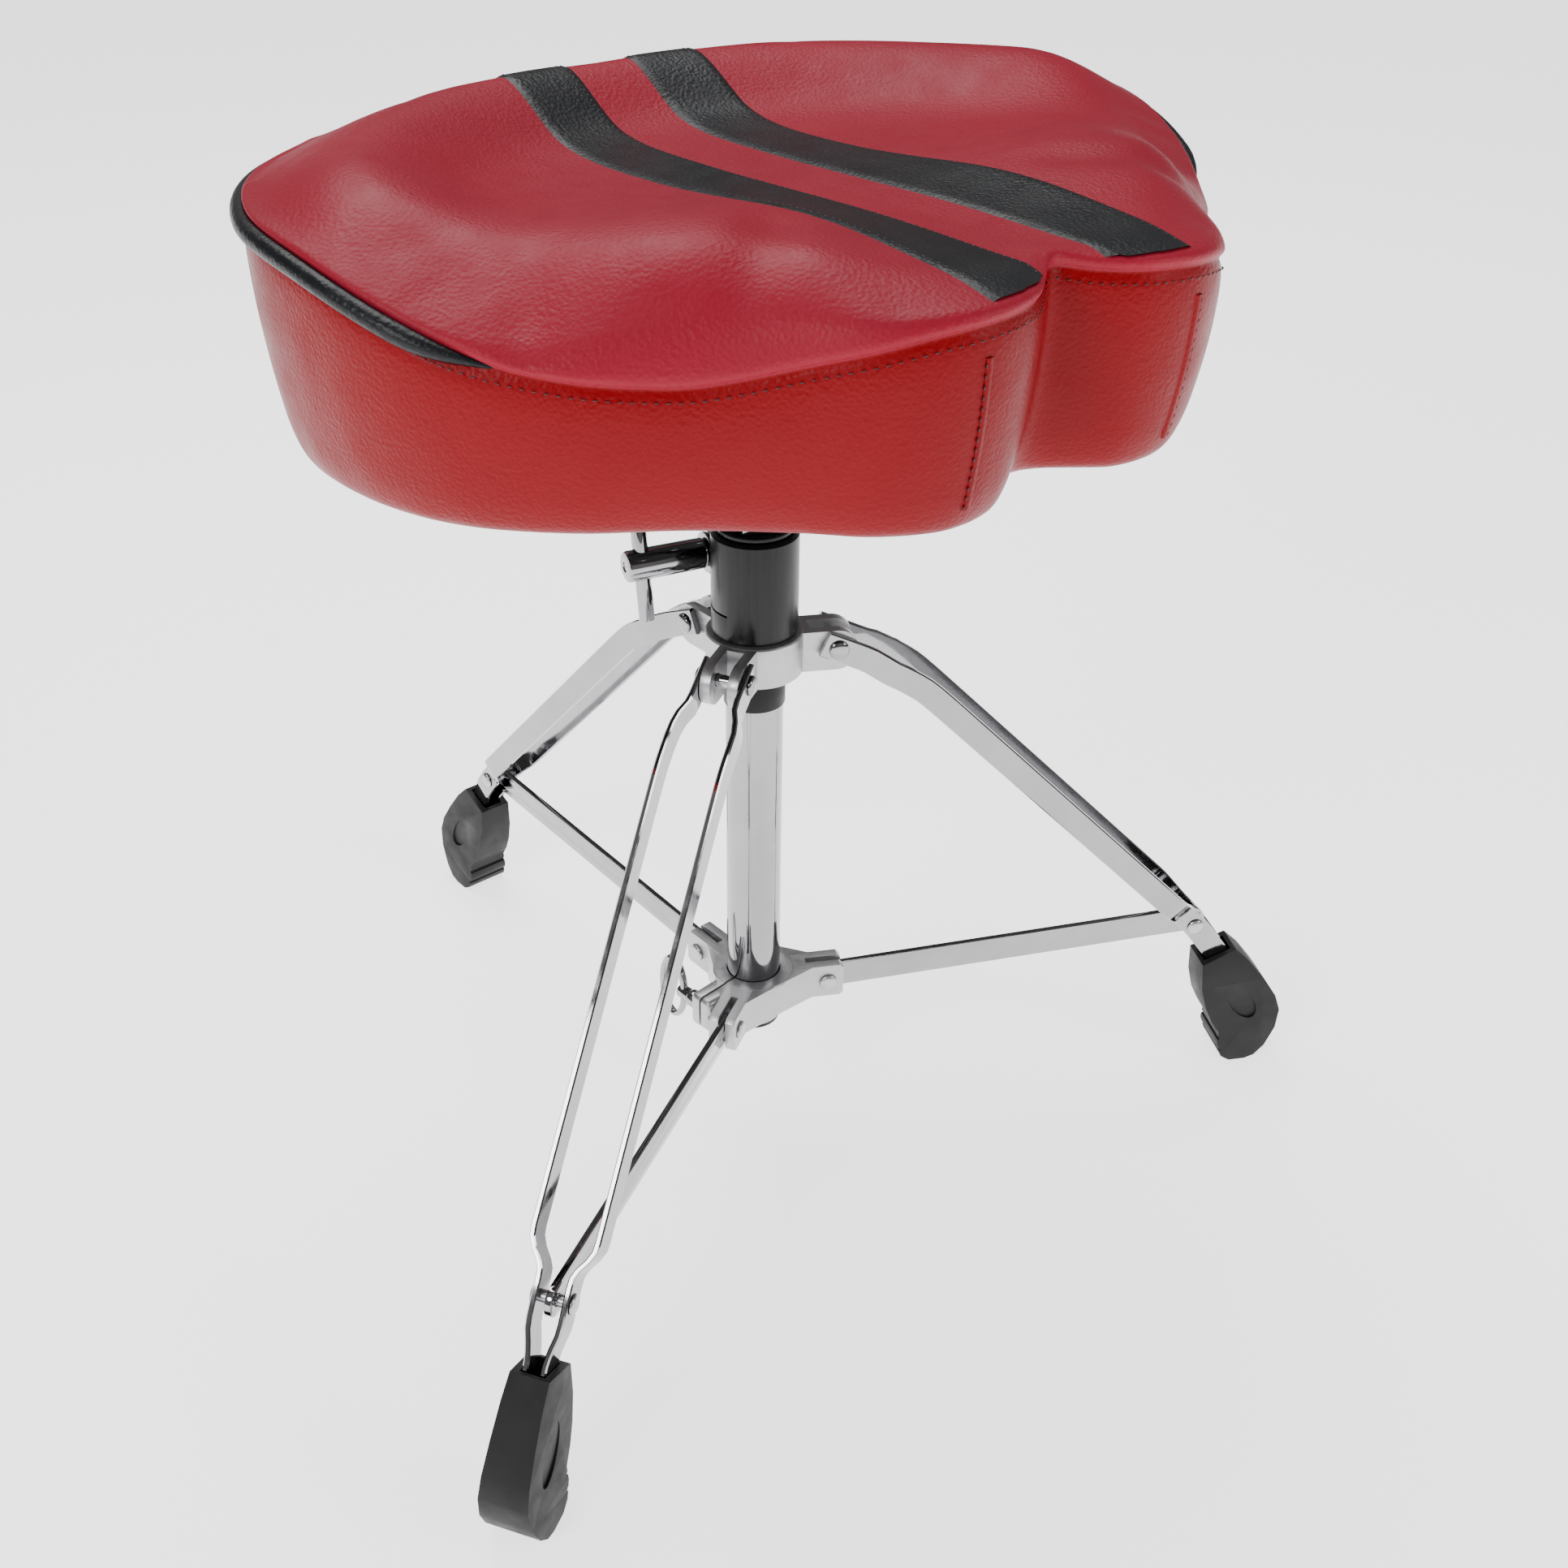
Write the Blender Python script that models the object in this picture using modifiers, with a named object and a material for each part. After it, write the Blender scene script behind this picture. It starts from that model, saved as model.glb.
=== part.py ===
"""Drum throne: a two-lobed padded seat on a height-adjustable post and a folding double-braced tripod.

Metres, +Z up. The sitter faces -Y. The column stands at (0, COLUMN_Y); each leg is built in its own
frame, where +X points away from the column and Y runs across the leg.
"""

import math

import bmesh
import bpy
from mathutils import Matrix, Vector
from mathutils.bvhtree import BVHTree

# Driving dimensions ---------------------------------------------------------------------------
GAP = 0.0003  # running clearance between pieces that touch
COLUMN_Y = -0.0626  # puts the origin under the middle of the whole throne
LEG_AZIMUTHS = (-30.0, 90.0, 210.0)

TUBE_R, TUBE_BORE_R = 0.0150, 0.0130
TUBE_BOTTOM, TUBE_TOP = 0.0701, 0.3700
POST_R, POST_BOTTOM, POST_TOP = 0.0110, 0.1950, 0.4435
SLEEVE_R, SLEEVE_BOTTOM, SLEEVE_TOP = 0.0221, 0.3178, 0.3722
CLAMP_Z, CLAMP_AZIMUTH, CLAMP_OFFSET = 0.3500, 75.0, 0.0285

HANDLE_LEAN, HANDLE_AT = 10.0, 0.0490  # lean off upright; distance out along the clamp screw

PIVOT_R, PIVOT_Z = 0.0412, 0.3081  # leg hinge pins in the upper collar
COLLAR_PIN_R, COLLAR_PIN_Z = 0.0422, 0.0903  # strut hinge pins in the sliding collar
STRUT_PIN_R, STRUT_PIN_Z = 0.2620, 0.1030  # where each strut meets its leg
PIN_R, PIN_HOLE_R, RIVET_R = 0.0030, 0.0033, 0.0050

EAR_HALF, EAR_SLOT_HALF = 0.0098, 0.0045
BAR_WIDTH, BAR_THICK = 0.0140, 0.0030
STRUT_HEIGHT, STRUT_THICK = 0.0160, 0.0034
FOOT_HALF, FOOT_TAPER = 0.0145, 0.056  # half width at the floor, and how fast it narrows with height
WING_AZIMUTH, WING_OFFSET = 185.0, 0.0350

SEAT_BOTTOM = 0.4515
BOARD_BOTTOM, BOARD_THICK = 0.4535, 0.0120
COVER_THICK = 0.0012
PIPING_R = 0.0032
STRIPE_WIDTH, STRIPE_OFFSET = 0.0380, 0.0365
# Half of the seat's outline: distance to the side, distance forward of the column.
SEAT_HALF = [
    (0.0, -0.142), (0.066, -0.142), (0.132, -0.129), (0.191, -0.091), (0.225, -0.034), (0.229, 0.022),
    (0.214, 0.070), (0.182, 0.108), (0.146, 0.134), (0.117, 0.160), (0.094, 0.184), (0.064, 0.199),
    (0.034, 0.197), (0.012, 0.182),
]
NOTCH = (0.0, 0.174)
SEAT_STEPS = 52  # points round the outline


# Scene and helpers ----------------------------------------------------------------------------
for old in list(bpy.data.objects):
    bpy.data.objects.remove(old, do_unlink=True)
PARTS = bpy.data.collections.new("drum_throne")
CUTTERS = bpy.data.collections.new("cutters")
for group in (PARTS, CUTTERS):
    bpy.context.scene.collection.children.link(group)
CUTTERS.hide_render = True


def material(name, colour, roughness, metallic=0.0):
    made = bpy.data.materials.new(name)
    made.use_nodes = True
    shader = made.node_tree.nodes["Principled BSDF"]
    shader.inputs["Base Color"].default_value = (*colour, 1.0)
    shader.inputs["Roughness"].default_value = roughness
    shader.inputs["Metallic"].default_value = metallic
    return made


CHROME = ((0.78, 0.78, 0.80), 0.08, 1.0)
CAST = ((0.62, 0.62, 0.63), 0.35, 1.0)
BLACK_METAL = ((0.020, 0.020, 0.021), 0.30, 0.6)
STEEL = ((0.42, 0.42, 0.43), 0.40, 1.0)
RED_VINYL = ((0.40, 0.022, 0.028), 0.40, 0.0)
BLACK_VINYL = ((0.022, 0.022, 0.024), 0.40, 0.0)
RUBBER = ((0.030, 0.030, 0.030), 0.70, 0.0)
NYLON = ((0.025, 0.025, 0.027), 0.50, 0.0)
PLYWOOD = ((0.50, 0.36, 0.20), 0.70, 0.0)
FOAM = ((0.75, 0.70, 0.50), 0.90, 0.0)
FABRIC = ((0.018, 0.018, 0.018), 0.95, 0.0)


def empty(name, parent=None, location=(0, 0, 0), azimuth=0.0):
    made = bpy.data.objects.new(name, None)
    PARTS.objects.link(made)
    made.parent = parent
    made.location = location
    made.rotation_euler = (0, 0, math.radians(azimuth))
    return made


def place(name, mesh, look, parent, location=(0, 0, 0), rotation=(0, 0, 0), smooth=False):
    made = bpy.data.objects.new(name, mesh)
    PARTS.objects.link(made)
    made.parent = parent
    made.location = location
    made.rotation_euler = rotation
    mesh.materials.append(material(name, *look))
    for face in mesh.polygons:
        face.use_smooth = smooth
    return made


def mesh_of(name, build):
    """A mesh made by build(bm), with its normals turned outwards."""
    bm = bmesh.new()
    build(bm)
    bmesh.ops.recalc_face_normals(bm, faces=bm.faces)
    mesh = bpy.data.meshes.new(name)
    bm.to_mesh(mesh)
    bm.free()
    return mesh


def box(bm, low, high):
    low, high = Vector(low), Vector(high)
    size = Matrix.Diagonal((*(high - low), 1.0))
    bmesh.ops.create_cube(bm, size=1.0, matrix=Matrix.Translation((low + high) / 2) @ size)


def rod(bm, start, end, radius, segments=24):
    start, end = Vector(start), Vector(end)
    turn = Vector((0, 0, 1)).rotation_difference(end - start).to_matrix().to_4x4()
    bmesh.ops.create_cone(
        bm, cap_ends=True, segments=segments, radius1=radius, radius2=radius,
        depth=(end - start).length, matrix=Matrix.Translation((start + end) / 2) @ turn,
    )


def helper(name, build, parent, location=(0, 0, 0), rotation=(0, 0, 0)):
    return cutter_from(name, mesh_of(name, build), parent, location, rotation)


def cutter_from(name, mesh, parent, location=(0, 0, 0), rotation=(0, 0, 0)):
    """A solid that only takes part in Booleans."""
    made = bpy.data.objects.new(name, mesh)
    CUTTERS.objects.link(made)
    made.parent = parent
    made.location = location
    made.rotation_euler = rotation
    made.hide_render = True
    made.display_type = "WIRE"
    return made


def combine(target, other, operation="DIFFERENCE"):
    modifier = target.modifiers.new(operation.title(), "BOOLEAN")
    modifier.operation = operation
    modifier.solver = "EXACT"
    modifier.object = other


def bevel(target, width, segments=2):
    modifier = target.modifiers.new("Edges", "BEVEL")
    modifier.width = width
    modifier.segments = segments
    modifier.limit_method = "ANGLE"


def turned(name, profile, look, parent, steps=28, **where):
    """A profile of (radius, height) points, spun round its own Z by a Screw modifier."""
    mesh = bpy.data.meshes.new(name)
    ring = profile[0] == profile[-1]
    points = [(radius, 0.0, height) for radius, height in (profile[:-1] if ring else profile)]
    edges = [(i, i + 1) for i in range(len(points) - 1)]
    if ring:
        edges.append((len(points) - 1, 0))
    mesh.from_pydata(points, edges, [])
    made = place(name, mesh, look, parent, **where)
    screw = made.modifiers.new("Spin", "SCREW")
    screw.steps = screw.render_steps = steps
    screw.use_merge_vertices = True
    screw.merge_threshold = 0.00001
    screw.use_smooth_shade = True
    return made


def ring_profile(inner, outer, low, high, edge=0.0004):
    """A closed ring section, run down its outer side."""
    return [
        (inner, high), (outer - edge, high), (outer, high - edge), (outer, low + edge),
        (outer - edge, low), (inner, low), (inner, high),
    ]


def flat(name, outlines, thickness):
    """A flat plate in the XZ plane, centred on Y = 0, from its outline and its holes."""
    curve = bpy.data.curves.new(name, "CURVE")
    curve.dimensions = "2D"
    curve.fill_mode = "BOTH"
    curve.extrude = thickness / 2
    for outline in outlines:
        spline = curve.splines.new("POLY")
        spline.points.add(len(outline) - 1)
        for point, (x, z) in zip(spline.points, outline):
            point.co = (x, z, 0, 1)
        spline.use_cyclic_u = True
    holder = bpy.data.objects.new(name, curve)
    mesh = bpy.data.meshes.new_from_object(holder)
    bpy.data.objects.remove(holder)
    mesh.transform(Matrix.Rotation(math.radians(90), 4, "X"))
    bm = bmesh.new()
    bm.from_mesh(mesh)
    bmesh.ops.remove_doubles(bm, verts=bm.verts, dist=0.000005)
    bmesh.ops.recalc_face_normals(bm, faces=bm.faces)
    bm.to_mesh(mesh)
    bm.free()
    mesh.materials.clear()
    return mesh


def arc(centre, radius, start, end, steps):
    """Points on an arc, in degrees, both ends included."""
    angles = [math.radians(start + (end - start) * i / steps) for i in range(steps + 1)]
    return [(centre[0] + radius * math.cos(a), centre[1] + radius * math.sin(a)) for a in angles]


def link_outline(start, end, radius):
    """A straight link with a full round at each end."""
    direction = math.degrees(math.atan2(end[1] - start[1], end[0] - start[0]))
    return (arc(end, radius, direction - 90, direction + 90, 8)
            + arc(start, radius, direction + 90, direction + 270, 8))


def polar(azimuth, radius, z):
    angle = math.radians(azimuth)
    return Vector((radius * math.cos(angle), radius * math.sin(angle), z))


AXIS = empty("throne_axis", location=(0, COLUMN_Y, 0))


# Column ---------------------------------------------------------------------------------------
def build_column():
    turned("center_tube", ring_profile(TUBE_BORE_R, TUBE_R, TUBE_BOTTOM, TUBE_TOP), CHROME, AXIS)
    plug = TUBE_BORE_R - GAP
    turned("tube_end_plug", [
        (0, TUBE_BOTTOM + 0.016), (plug - 0.001, TUBE_BOTTOM + 0.016), (plug, TUBE_BOTTOM + 0.015),
        (plug, TUBE_BOTTOM - GAP), (TUBE_R, TUBE_BOTTOM - GAP), (TUBE_R - 0.0004, TUBE_BOTTOM - 0.002),
        (0, TUBE_BOTTOM - 0.002),
    ], NYLON, AXIS)
    turned("tube_bush", ring_profile(POST_R + GAP, TUBE_BORE_R - GAP, 0.3300, TUBE_TOP), NYLON, AXIS)
    turned("tube_band", ring_profile(TUBE_R + GAP, TUBE_R + 0.0010, 0.2764, 0.2945, 0.0002), NYLON, AXIS)
    turned("lock_washer", ring_profile(POST_R + GAP, 0.0195, SLEEVE_TOP + GAP, 0.3750), BLACK_METAL, AXIS)
    build_sleeve()
    build_lock_nut()


def build_sleeve():
    edge = 0.0012
    sleeve = turned("clamp_sleeve", ring_profile(TUBE_R + GAP, SLEEVE_R, SLEEVE_BOTTOM, SLEEVE_TOP, edge),
                    BLACK_METAL, AXIS, steps=32)
    turn = (0, 0, math.radians(CLAMP_AZIMUTH))
    lug = helper("lug", lambda bm: box(bm, (0.0175, -0.0125, CLAMP_Z - 0.0150),
                                       (0.0345, 0.0125, CLAMP_Z + 0.0150)), AXIS, rotation=turn)
    bevel(lug, 0.0030, 2)
    combine(sleeve, lug, "UNION")
    slit_z = CLAMP_Z - 0.0180
    cutters = {
        "upright_slit": lambda bm: box(bm, (0.010, -0.0009, slit_z - 0.0009), (0.050, 0.0009, 0.400)),
        "level_slit": lambda bm: box(bm, (-0.010, 0.0002, slit_z - 0.0008), (0.050, 0.050, slit_z + 0.0008)),
        "clamp_hole": lambda bm: rod(bm, (CLAMP_OFFSET, -0.030, CLAMP_Z), (CLAMP_OFFSET, 0.030, CLAMP_Z),
                                     0.0043, 20),
    }
    for name, build in cutters.items():
        combine(sleeve, helper(name, build, AXIS, rotation=turn))


def build_lock_nut():
    low, high, across = 0.3750 + GAP, 0.3865, 0.0172
    nut = place("lock_nut", mesh_of("lock_nut", lambda bm: rod(bm, (0, 0, low), (0, 0, high), across, 6)),
                CHROME, AXIS)
    bevel(nut, 0.0008, 2)
    bore = helper("nut_bore", lambda bm: rod(bm, (0, 0, 0.360), (0, 0, 0.400), POST_R + GAP, 24), AXIS)
    combine(nut, bore)


def build_upper_collar():
    low, high = 0.2950, SLEEVE_BOTTOM - GAP
    middle = (low + high) / 2
    nose = (high - low) / 2 - 0.0006
    collar = turned("upper_collar", ring_profile(TUBE_R + GAP, 0.0235, low, high, 0.0005), CAST, AXIS, steps=36)
    for azimuth in LEG_AZIMUTHS:
        turn = (0, 0, math.radians(azimuth))
        side_view = [(0.0185, middle - nose), *arc((PIVOT_R, middle), nose, -90, 90, 8), (0.0185, middle + nose)]
        arm = cutter_from("upper_arm", flat("upper_arm", [side_view], 2 * EAR_HALF), AXIS, rotation=turn)
        combine(collar, arm, "UNION")
    for azimuth in LEG_AZIMUTHS:
        turn = (0, 0, math.radians(azimuth))
        slot = helper("upper_slot", lambda bm: box(bm, (0.0270, -EAR_SLOT_HALF, 0.28), (0.07, EAR_SLOT_HALF, 0.33)),
                      AXIS, rotation=turn)
        hole = helper("upper_hole", lambda bm: rod(bm, (PIVOT_R, -0.03, PIVOT_Z), (PIVOT_R, 0.03, PIVOT_Z),
                                                   PIN_HOLE_R, 16), AXIS, rotation=turn)
        combine(collar, slot)
        combine(collar, hole)


def rivet(name, look, parent, location, azimuth, half_length):
    """A pin across a leg, with a domed head at each end."""
    head = [
        (0, half_length + 0.0024), (RIVET_R * 0.65, half_length + 0.0020), (RIVET_R, half_length + 0.0006),
        (RIVET_R, half_length),
    ]
    profile = head + [(PIN_R, half_length), (PIN_R, -half_length)] + [(r, -z) for r, z in reversed(head)]
    return turned(name, profile, look, parent, steps=12, location=location,
                  rotation=(math.radians(-90), 0, math.radians(azimuth)))


# Legs -----------------------------------------------------------------------------------------
# Centre line of a leg bar in the leg's frame: out from the column, up, and sideways from the middle.
BAR_PATH = [
    (0.0355, 0.3108, 0.0117), (0.0412, 0.3081, 0.0117), (0.0560, 0.3010, 0.0117), (0.0690, 0.2935, 0.0158),
    (0.0810, 0.2862, 0.0160), (0.0900, 0.2790, 0.0160), (0.1000, 0.2692, 0.0160), (0.2446, 0.1222, 0.0160),
    (0.2536, 0.1122, 0.0080), (0.2620, 0.1030, 0.0078), (0.2675, 0.0958, 0.0078), (0.2737, 0.0873, 0.0060),
    (0.2790, 0.0800, 0.0045), (0.2905, 0.0642, 0.0045),
]


def bar_mesh(name, side):
    """A flat strip that follows BAR_PATH, as a ribbon with three points across its width."""
    def build(bm):
        rows = []
        for i, (r, z, across) in enumerate(BAR_PATH):
            before = BAR_PATH[max(i - 1, 0)]
            after = BAR_PATH[min(i + 1, len(BAR_PATH) - 1)]
            along = Vector((after[0] - before[0], after[1] - before[1])).normalized()
            normal = Vector((-along.y, along.x))
            width = BAR_WIDTH * (0.92 if i == 0 else 0.80 if i == len(BAR_PATH) - 1 else 1.0) / 2
            centre = Vector((r - PIVOT_R, z - PIVOT_Z))
            edges = [centre + normal * width * k for k in (-1, 0, 1)]
            rows.append([bm.verts.new((spot.x, side * across, spot.y)) for spot in edges])
        for first, second in zip(rows, rows[1:]):
            for k in (0, 1):
                bm.faces.new((first[k], second[k], second[k + 1], first[k + 1]))
    return mesh_of(name, build)


def build_bar(name, side, parent):
    bar = place(name, bar_mesh(name, side), CHROME, parent)
    solid = bar.modifiers.new("Thickness", "SOLIDIFY")
    solid.thickness = BAR_THICK
    solid.offset = 0
    for label, r, z in (("pivot_hole", PIVOT_R, PIVOT_Z), ("strut_hole", STRUT_PIN_R, STRUT_PIN_Z)):
        hole = helper(
            f"{name}_{label}",
            lambda bm, x=r - PIVOT_R, h=z - PIVOT_Z: rod(bm, (x, -0.03, h), (x, 0.03, h), PIN_HOLE_R, 14), parent)
        combine(bar, hole)


# Side view of a rubber foot in the leg's frame.
FOOT_OUTLINE = [
    (0.2705, 0.0735), (0.2905, 0.0826), (0.3000, 0.0735), (0.3110, 0.0595), (0.3205, 0.0455), (0.3245, 0.0345),
    (0.3235, 0.0215), (0.3180, 0.0085), (0.3120, 0.0020), (0.3060, 0.0000), (0.2960, 0.0000), (0.2905, 0.0035),
    (0.2868, 0.0130), (0.2869, 0.0223), (0.2815, 0.0300), (0.2762, 0.0410), (0.2720, 0.0560),
]


def build_foot(name, parent):
    """Moulded foot, tapered upwards, with a socket for the bar ends and an oval recess on each flank."""
    outline = [(r - PIVOT_R, z - PIVOT_Z) for r, z in FOOT_OUTLINE]
    mesh = flat(name, [outline], 2 * FOOT_HALF)
    for vert in mesh.vertices:
        vert.co.y *= 1 - FOOT_TAPER * (vert.co.z + PIVOT_Z) / FOOT_HALF
    foot = place(name, mesh, RUBBER, parent)
    bevel(foot, 0.0022, 2)
    end, before = Vector(BAR_PATH[-1][:2]), Vector(BAR_PATH[-2][:2])
    along = (before - end).normalized()
    socket = helper(f"{name}_socket", lambda bm: box(bm, (-0.0086, -0.0066, -0.0028), (0.0086, 0.0066, 0.0500)),
                    parent, location=(end.x - PIVOT_R, 0, end.y - PIVOT_Z),
                    rotation=(0, math.atan2(along.x, along.y), 0))
    combine(foot, socket)
    for side in (-1, 1):
        def recess(bm, side=side):
            rod(bm, (0, side * 0.0110, 0), (0, side * 0.0200, 0), 0.0070, 24)
            bm.transform(Matrix.Rotation(math.radians(-36), 4, "Y") @ Matrix.Diagonal((1, 1, 2.2, 1)))
        combine(foot, helper(f"{name}_recess", recess, parent,
                             location=(0.2985 - PIVOT_R, 0, 0.0440 - PIVOT_Z)))


def build_strut(name, parent):
    """The brace from the sliding collar out to the leg, hinged at the collar."""
    outer = (STRUT_PIN_R - COLLAR_PIN_R, STRUT_PIN_Z - COLLAR_PIN_Z)
    holes = [arc(centre, PIN_HOLE_R, 0, 360 - 22.5, 15) for centre in ((0, 0), outer)]
    mesh = flat(name, [link_outline((0, 0), outer, STRUT_HEIGHT / 2), *holes], STRUT_THICK)
    place(name, mesh, CHROME, parent)


def build_leg(number, azimuth):
    hinge = empty(f"leg_{number}_hinge", AXIS, polar(azimuth, PIVOT_R, PIVOT_Z), azimuth)
    for word, side in (("left", 1), ("right", -1)):
        build_bar(f"leg_{number}_bar_{word}", side, hinge)
        stub = [
            (0, 0.0076), (RIVET_R * 0.65, 0.0072), (RIVET_R, 0.0059), (RIVET_R, 0.0053), (PIN_R, 0.0053),
            (PIN_R, 0.0), (0, 0.0),
        ]
        place_at = (STRUT_PIN_R - PIVOT_R, side * (STRUT_THICK / 2 + GAP + 0.0025), STRUT_PIN_Z - PIVOT_Z)
        turned(f"leg_{number}_strut_rivet_{word}", stub, STEEL, hinge, steps=12, location=place_at,
               rotation=(math.radians(-90 * side), 0, 0))
    build_foot(f"leg_{number}_foot", hinge)
    rivet(f"leg_{number}_pivot_pin", CHROME, AXIS, polar(azimuth, PIVOT_R, PIVOT_Z), azimuth, 0.0135)
    collar = empty(f"strut_{number}_hinge", AXIS, polar(azimuth, COLLAR_PIN_R, COLLAR_PIN_Z), azimuth)
    build_strut(f"leg_{number}_strut", collar)
    rivet(f"collar_pin_{number}", STEEL, AXIS, polar(azimuth, COLLAR_PIN_R, COLLAR_PIN_Z), azimuth, 0.0078)


# Sliding collar and wing screw ------------------------------------------------------------------
def build_lower_collar():
    low, high = 0.0802, 0.1018
    half, slot_half = 0.0075, STRUT_THICK / 2 + GAP
    collar = turned("lower_collar", ring_profile(TUBE_R + GAP, 0.0230, low, high, 0.0008), CAST, AXIS, steps=32)
    for azimuth in LEG_AZIMUTHS:
        turn = (0, 0, math.radians(azimuth))
        arm = helper("lower_arm", lambda bm: box(bm, (0.0185, -half, low + 0.0001),
                                                 (COLLAR_PIN_R + 0.0090, half, high - 0.0001)), AXIS, rotation=turn)
        bevel(arm, 0.0025, 2)
        combine(collar, arm, "UNION")
    wing_turn = (0, 0, math.radians(WING_AZIMUTH))
    lug = helper("clamp_lug", lambda bm: box(bm, (0.0185, -0.0080, low + 0.0004), (0.0420, 0.0075, high - 0.0004)),
                 AXIS, rotation=wing_turn)
    bevel(lug, 0.0025, 2)
    combine(collar, lug, "UNION")
    for azimuth in LEG_AZIMUTHS:
        turn = (0, 0, math.radians(azimuth))
        combine(collar, helper("lower_slot", lambda bm: box(bm, (0.0300, -slot_half, 0.06), (0.07, slot_half, 0.12)),
                               AXIS, rotation=turn))
        combine(collar, helper("lower_hole", lambda bm: rod(bm, (COLLAR_PIN_R, -0.011, COLLAR_PIN_Z),
                                                            (COLLAR_PIN_R, 0.011, COLLAR_PIN_Z), PIN_HOLE_R, 14),
                               AXIS, rotation=turn))
    combine(collar, helper("collar_split", lambda bm: box(bm, (0.010, -0.0007, 0.06), (0.060, 0.0007, 0.12)),
                           AXIS, rotation=wing_turn))
    screw_z = (low + high) / 2
    combine(collar, helper("wing_hole", lambda bm: rod(bm, (WING_OFFSET, -0.0110, screw_z),
                                                       (WING_OFFSET, 0.0150, screw_z), 0.0033, 16),
                           AXIS, rotation=wing_turn))
    build_wing_screw(screw_z)


def build_wing_screw(screw_z):
    """Shaft along its own -Z, into the collar; hub and oval loop on +Z."""
    place_at = polar(WING_AZIMUTH, WING_OFFSET, screw_z)
    profile = [
        (0, 0.0215), (0.0034, 0.0215), (0.0040, 0.0208), (0.0040, 0.0148), (0.0050, 0.0140), (0.0050, 0.0090),
        (0.0045, 0.0084), (0.0030, 0.0084), (0.0030, -0.0046), (0.0024, -0.0052), (0, -0.0052),
    ]
    turn = (math.radians(90), 0, math.radians(WING_AZIMUTH))
    screw = turned("wing_screw", profile, CHROME, AXIS, steps=24, location=place_at, rotation=turn)
    curve = bpy.data.curves.new("wing_loop", "CURVE")
    curve.dimensions = "3D"
    curve.bevel_depth = 0.0023
    curve.bevel_resolution = 1
    spline = curve.splines.new("POLY")
    steps = 22
    spline.points.add(steps - 1)
    for i, point in enumerate(spline.points):
        angle = math.tau * i / steps
        point.co = (0, 0.0195 * math.sin(angle), 0.0290 + 0.0088 * math.cos(angle), 1)
    spline.use_cyclic_u = True
    holder = bpy.data.objects.new("wing_loop", curve)
    mesh = bpy.data.meshes.new_from_object(holder)
    bpy.data.objects.remove(holder)
    combine(screw, cutter_from("wing_loop", mesh, AXIS, place_at, turn), "UNION")


# Height clamp -----------------------------------------------------------------------------------
def build_clamp():
    """The tee-handled screw whose axis runs across the sleeve's lug."""
    turn = (math.radians(-90), 0, math.radians(CLAMP_AZIMUTH))
    centre = polar(CLAMP_AZIMUTH, CLAMP_OFFSET, CLAMP_Z)
    face = 0.0125
    profile = [
        (0, 0.0580), (0.0066, 0.0580), (0.0080, 0.0566), (0.0080, face + 0.0040), (0.0068, face + 0.0028),
        (0.0040, face + 0.0028), (0.0040, -0.0205), (0.0034, -0.0210), (0, -0.0210),
    ]
    screw = turned("clamp_screw", profile, CHROME, AXIS, steps=22, location=centre, rotation=turn)
    across = Matrix.Rotation(turn[2], 4, "Z") @ Matrix.Rotation(turn[0], 4, "X")
    handle_centre = Vector(centre) + across.to_3x3() @ Vector((0, 0, HANDLE_AT))
    tilt = (Matrix.Rotation(turn[2], 4, "Z") @ Matrix.Rotation(math.radians(HANDLE_LEAN), 4, "Y")).to_euler()
    combine(screw, helper("handle_hole", lambda bm: rod(bm, (0, 0, -0.02), (0, 0, 0.02), 0.0043, 20), AXIS,
                          location=handle_centre, rotation=tilt))
    bar = [(0, 0.0400), (0.0034, 0.0400), (0.0040, 0.0394), (0.0040, -0.0294), (0.0034, -0.0300), (0, -0.0300)]
    turned("clamp_handle", bar, CHROME, AXIS, steps=20, location=handle_centre, rotation=tilt)
    turned("clamp_washer", ring_profile(0.0040 + GAP, 0.0105, face + GAP, face + 0.0025), CHROME, AXIS, steps=28,
           location=centre, rotation=turn)
    nut = place("clamp_nut", mesh_of("clamp_nut", lambda bm: rod(bm, (0, 0, -0.0190), (0, 0, -face - GAP), 0.0078, 6)),
                STEEL, AXIS, location=centre, rotation=turn)
    bore = helper("clamp_nut_bore", lambda bm: rod(bm, (0, 0, -0.03), (0, 0, 0), 0.0040 + GAP, 20), AXIS,
                  location=centre, rotation=turn)
    combine(nut, bore)


# Post and seat ----------------------------------------------------------------------------------
def build_post():
    turned("seat_post", [
        (0, POST_TOP), (POST_R - 0.0012, POST_TOP), (POST_R, POST_TOP - 0.0012), (POST_R, POST_BOTTOM + 0.0015),
        (POST_R - 0.0015, POST_BOTTOM), (0, POST_BOTTOM),
    ], CHROME, AXIS, steps=24)
    turned("thrust_washer", ring_profile(POST_R + GAP, 0.0155, 0.4040, 0.4065), NYLON, AXIS)


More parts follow.
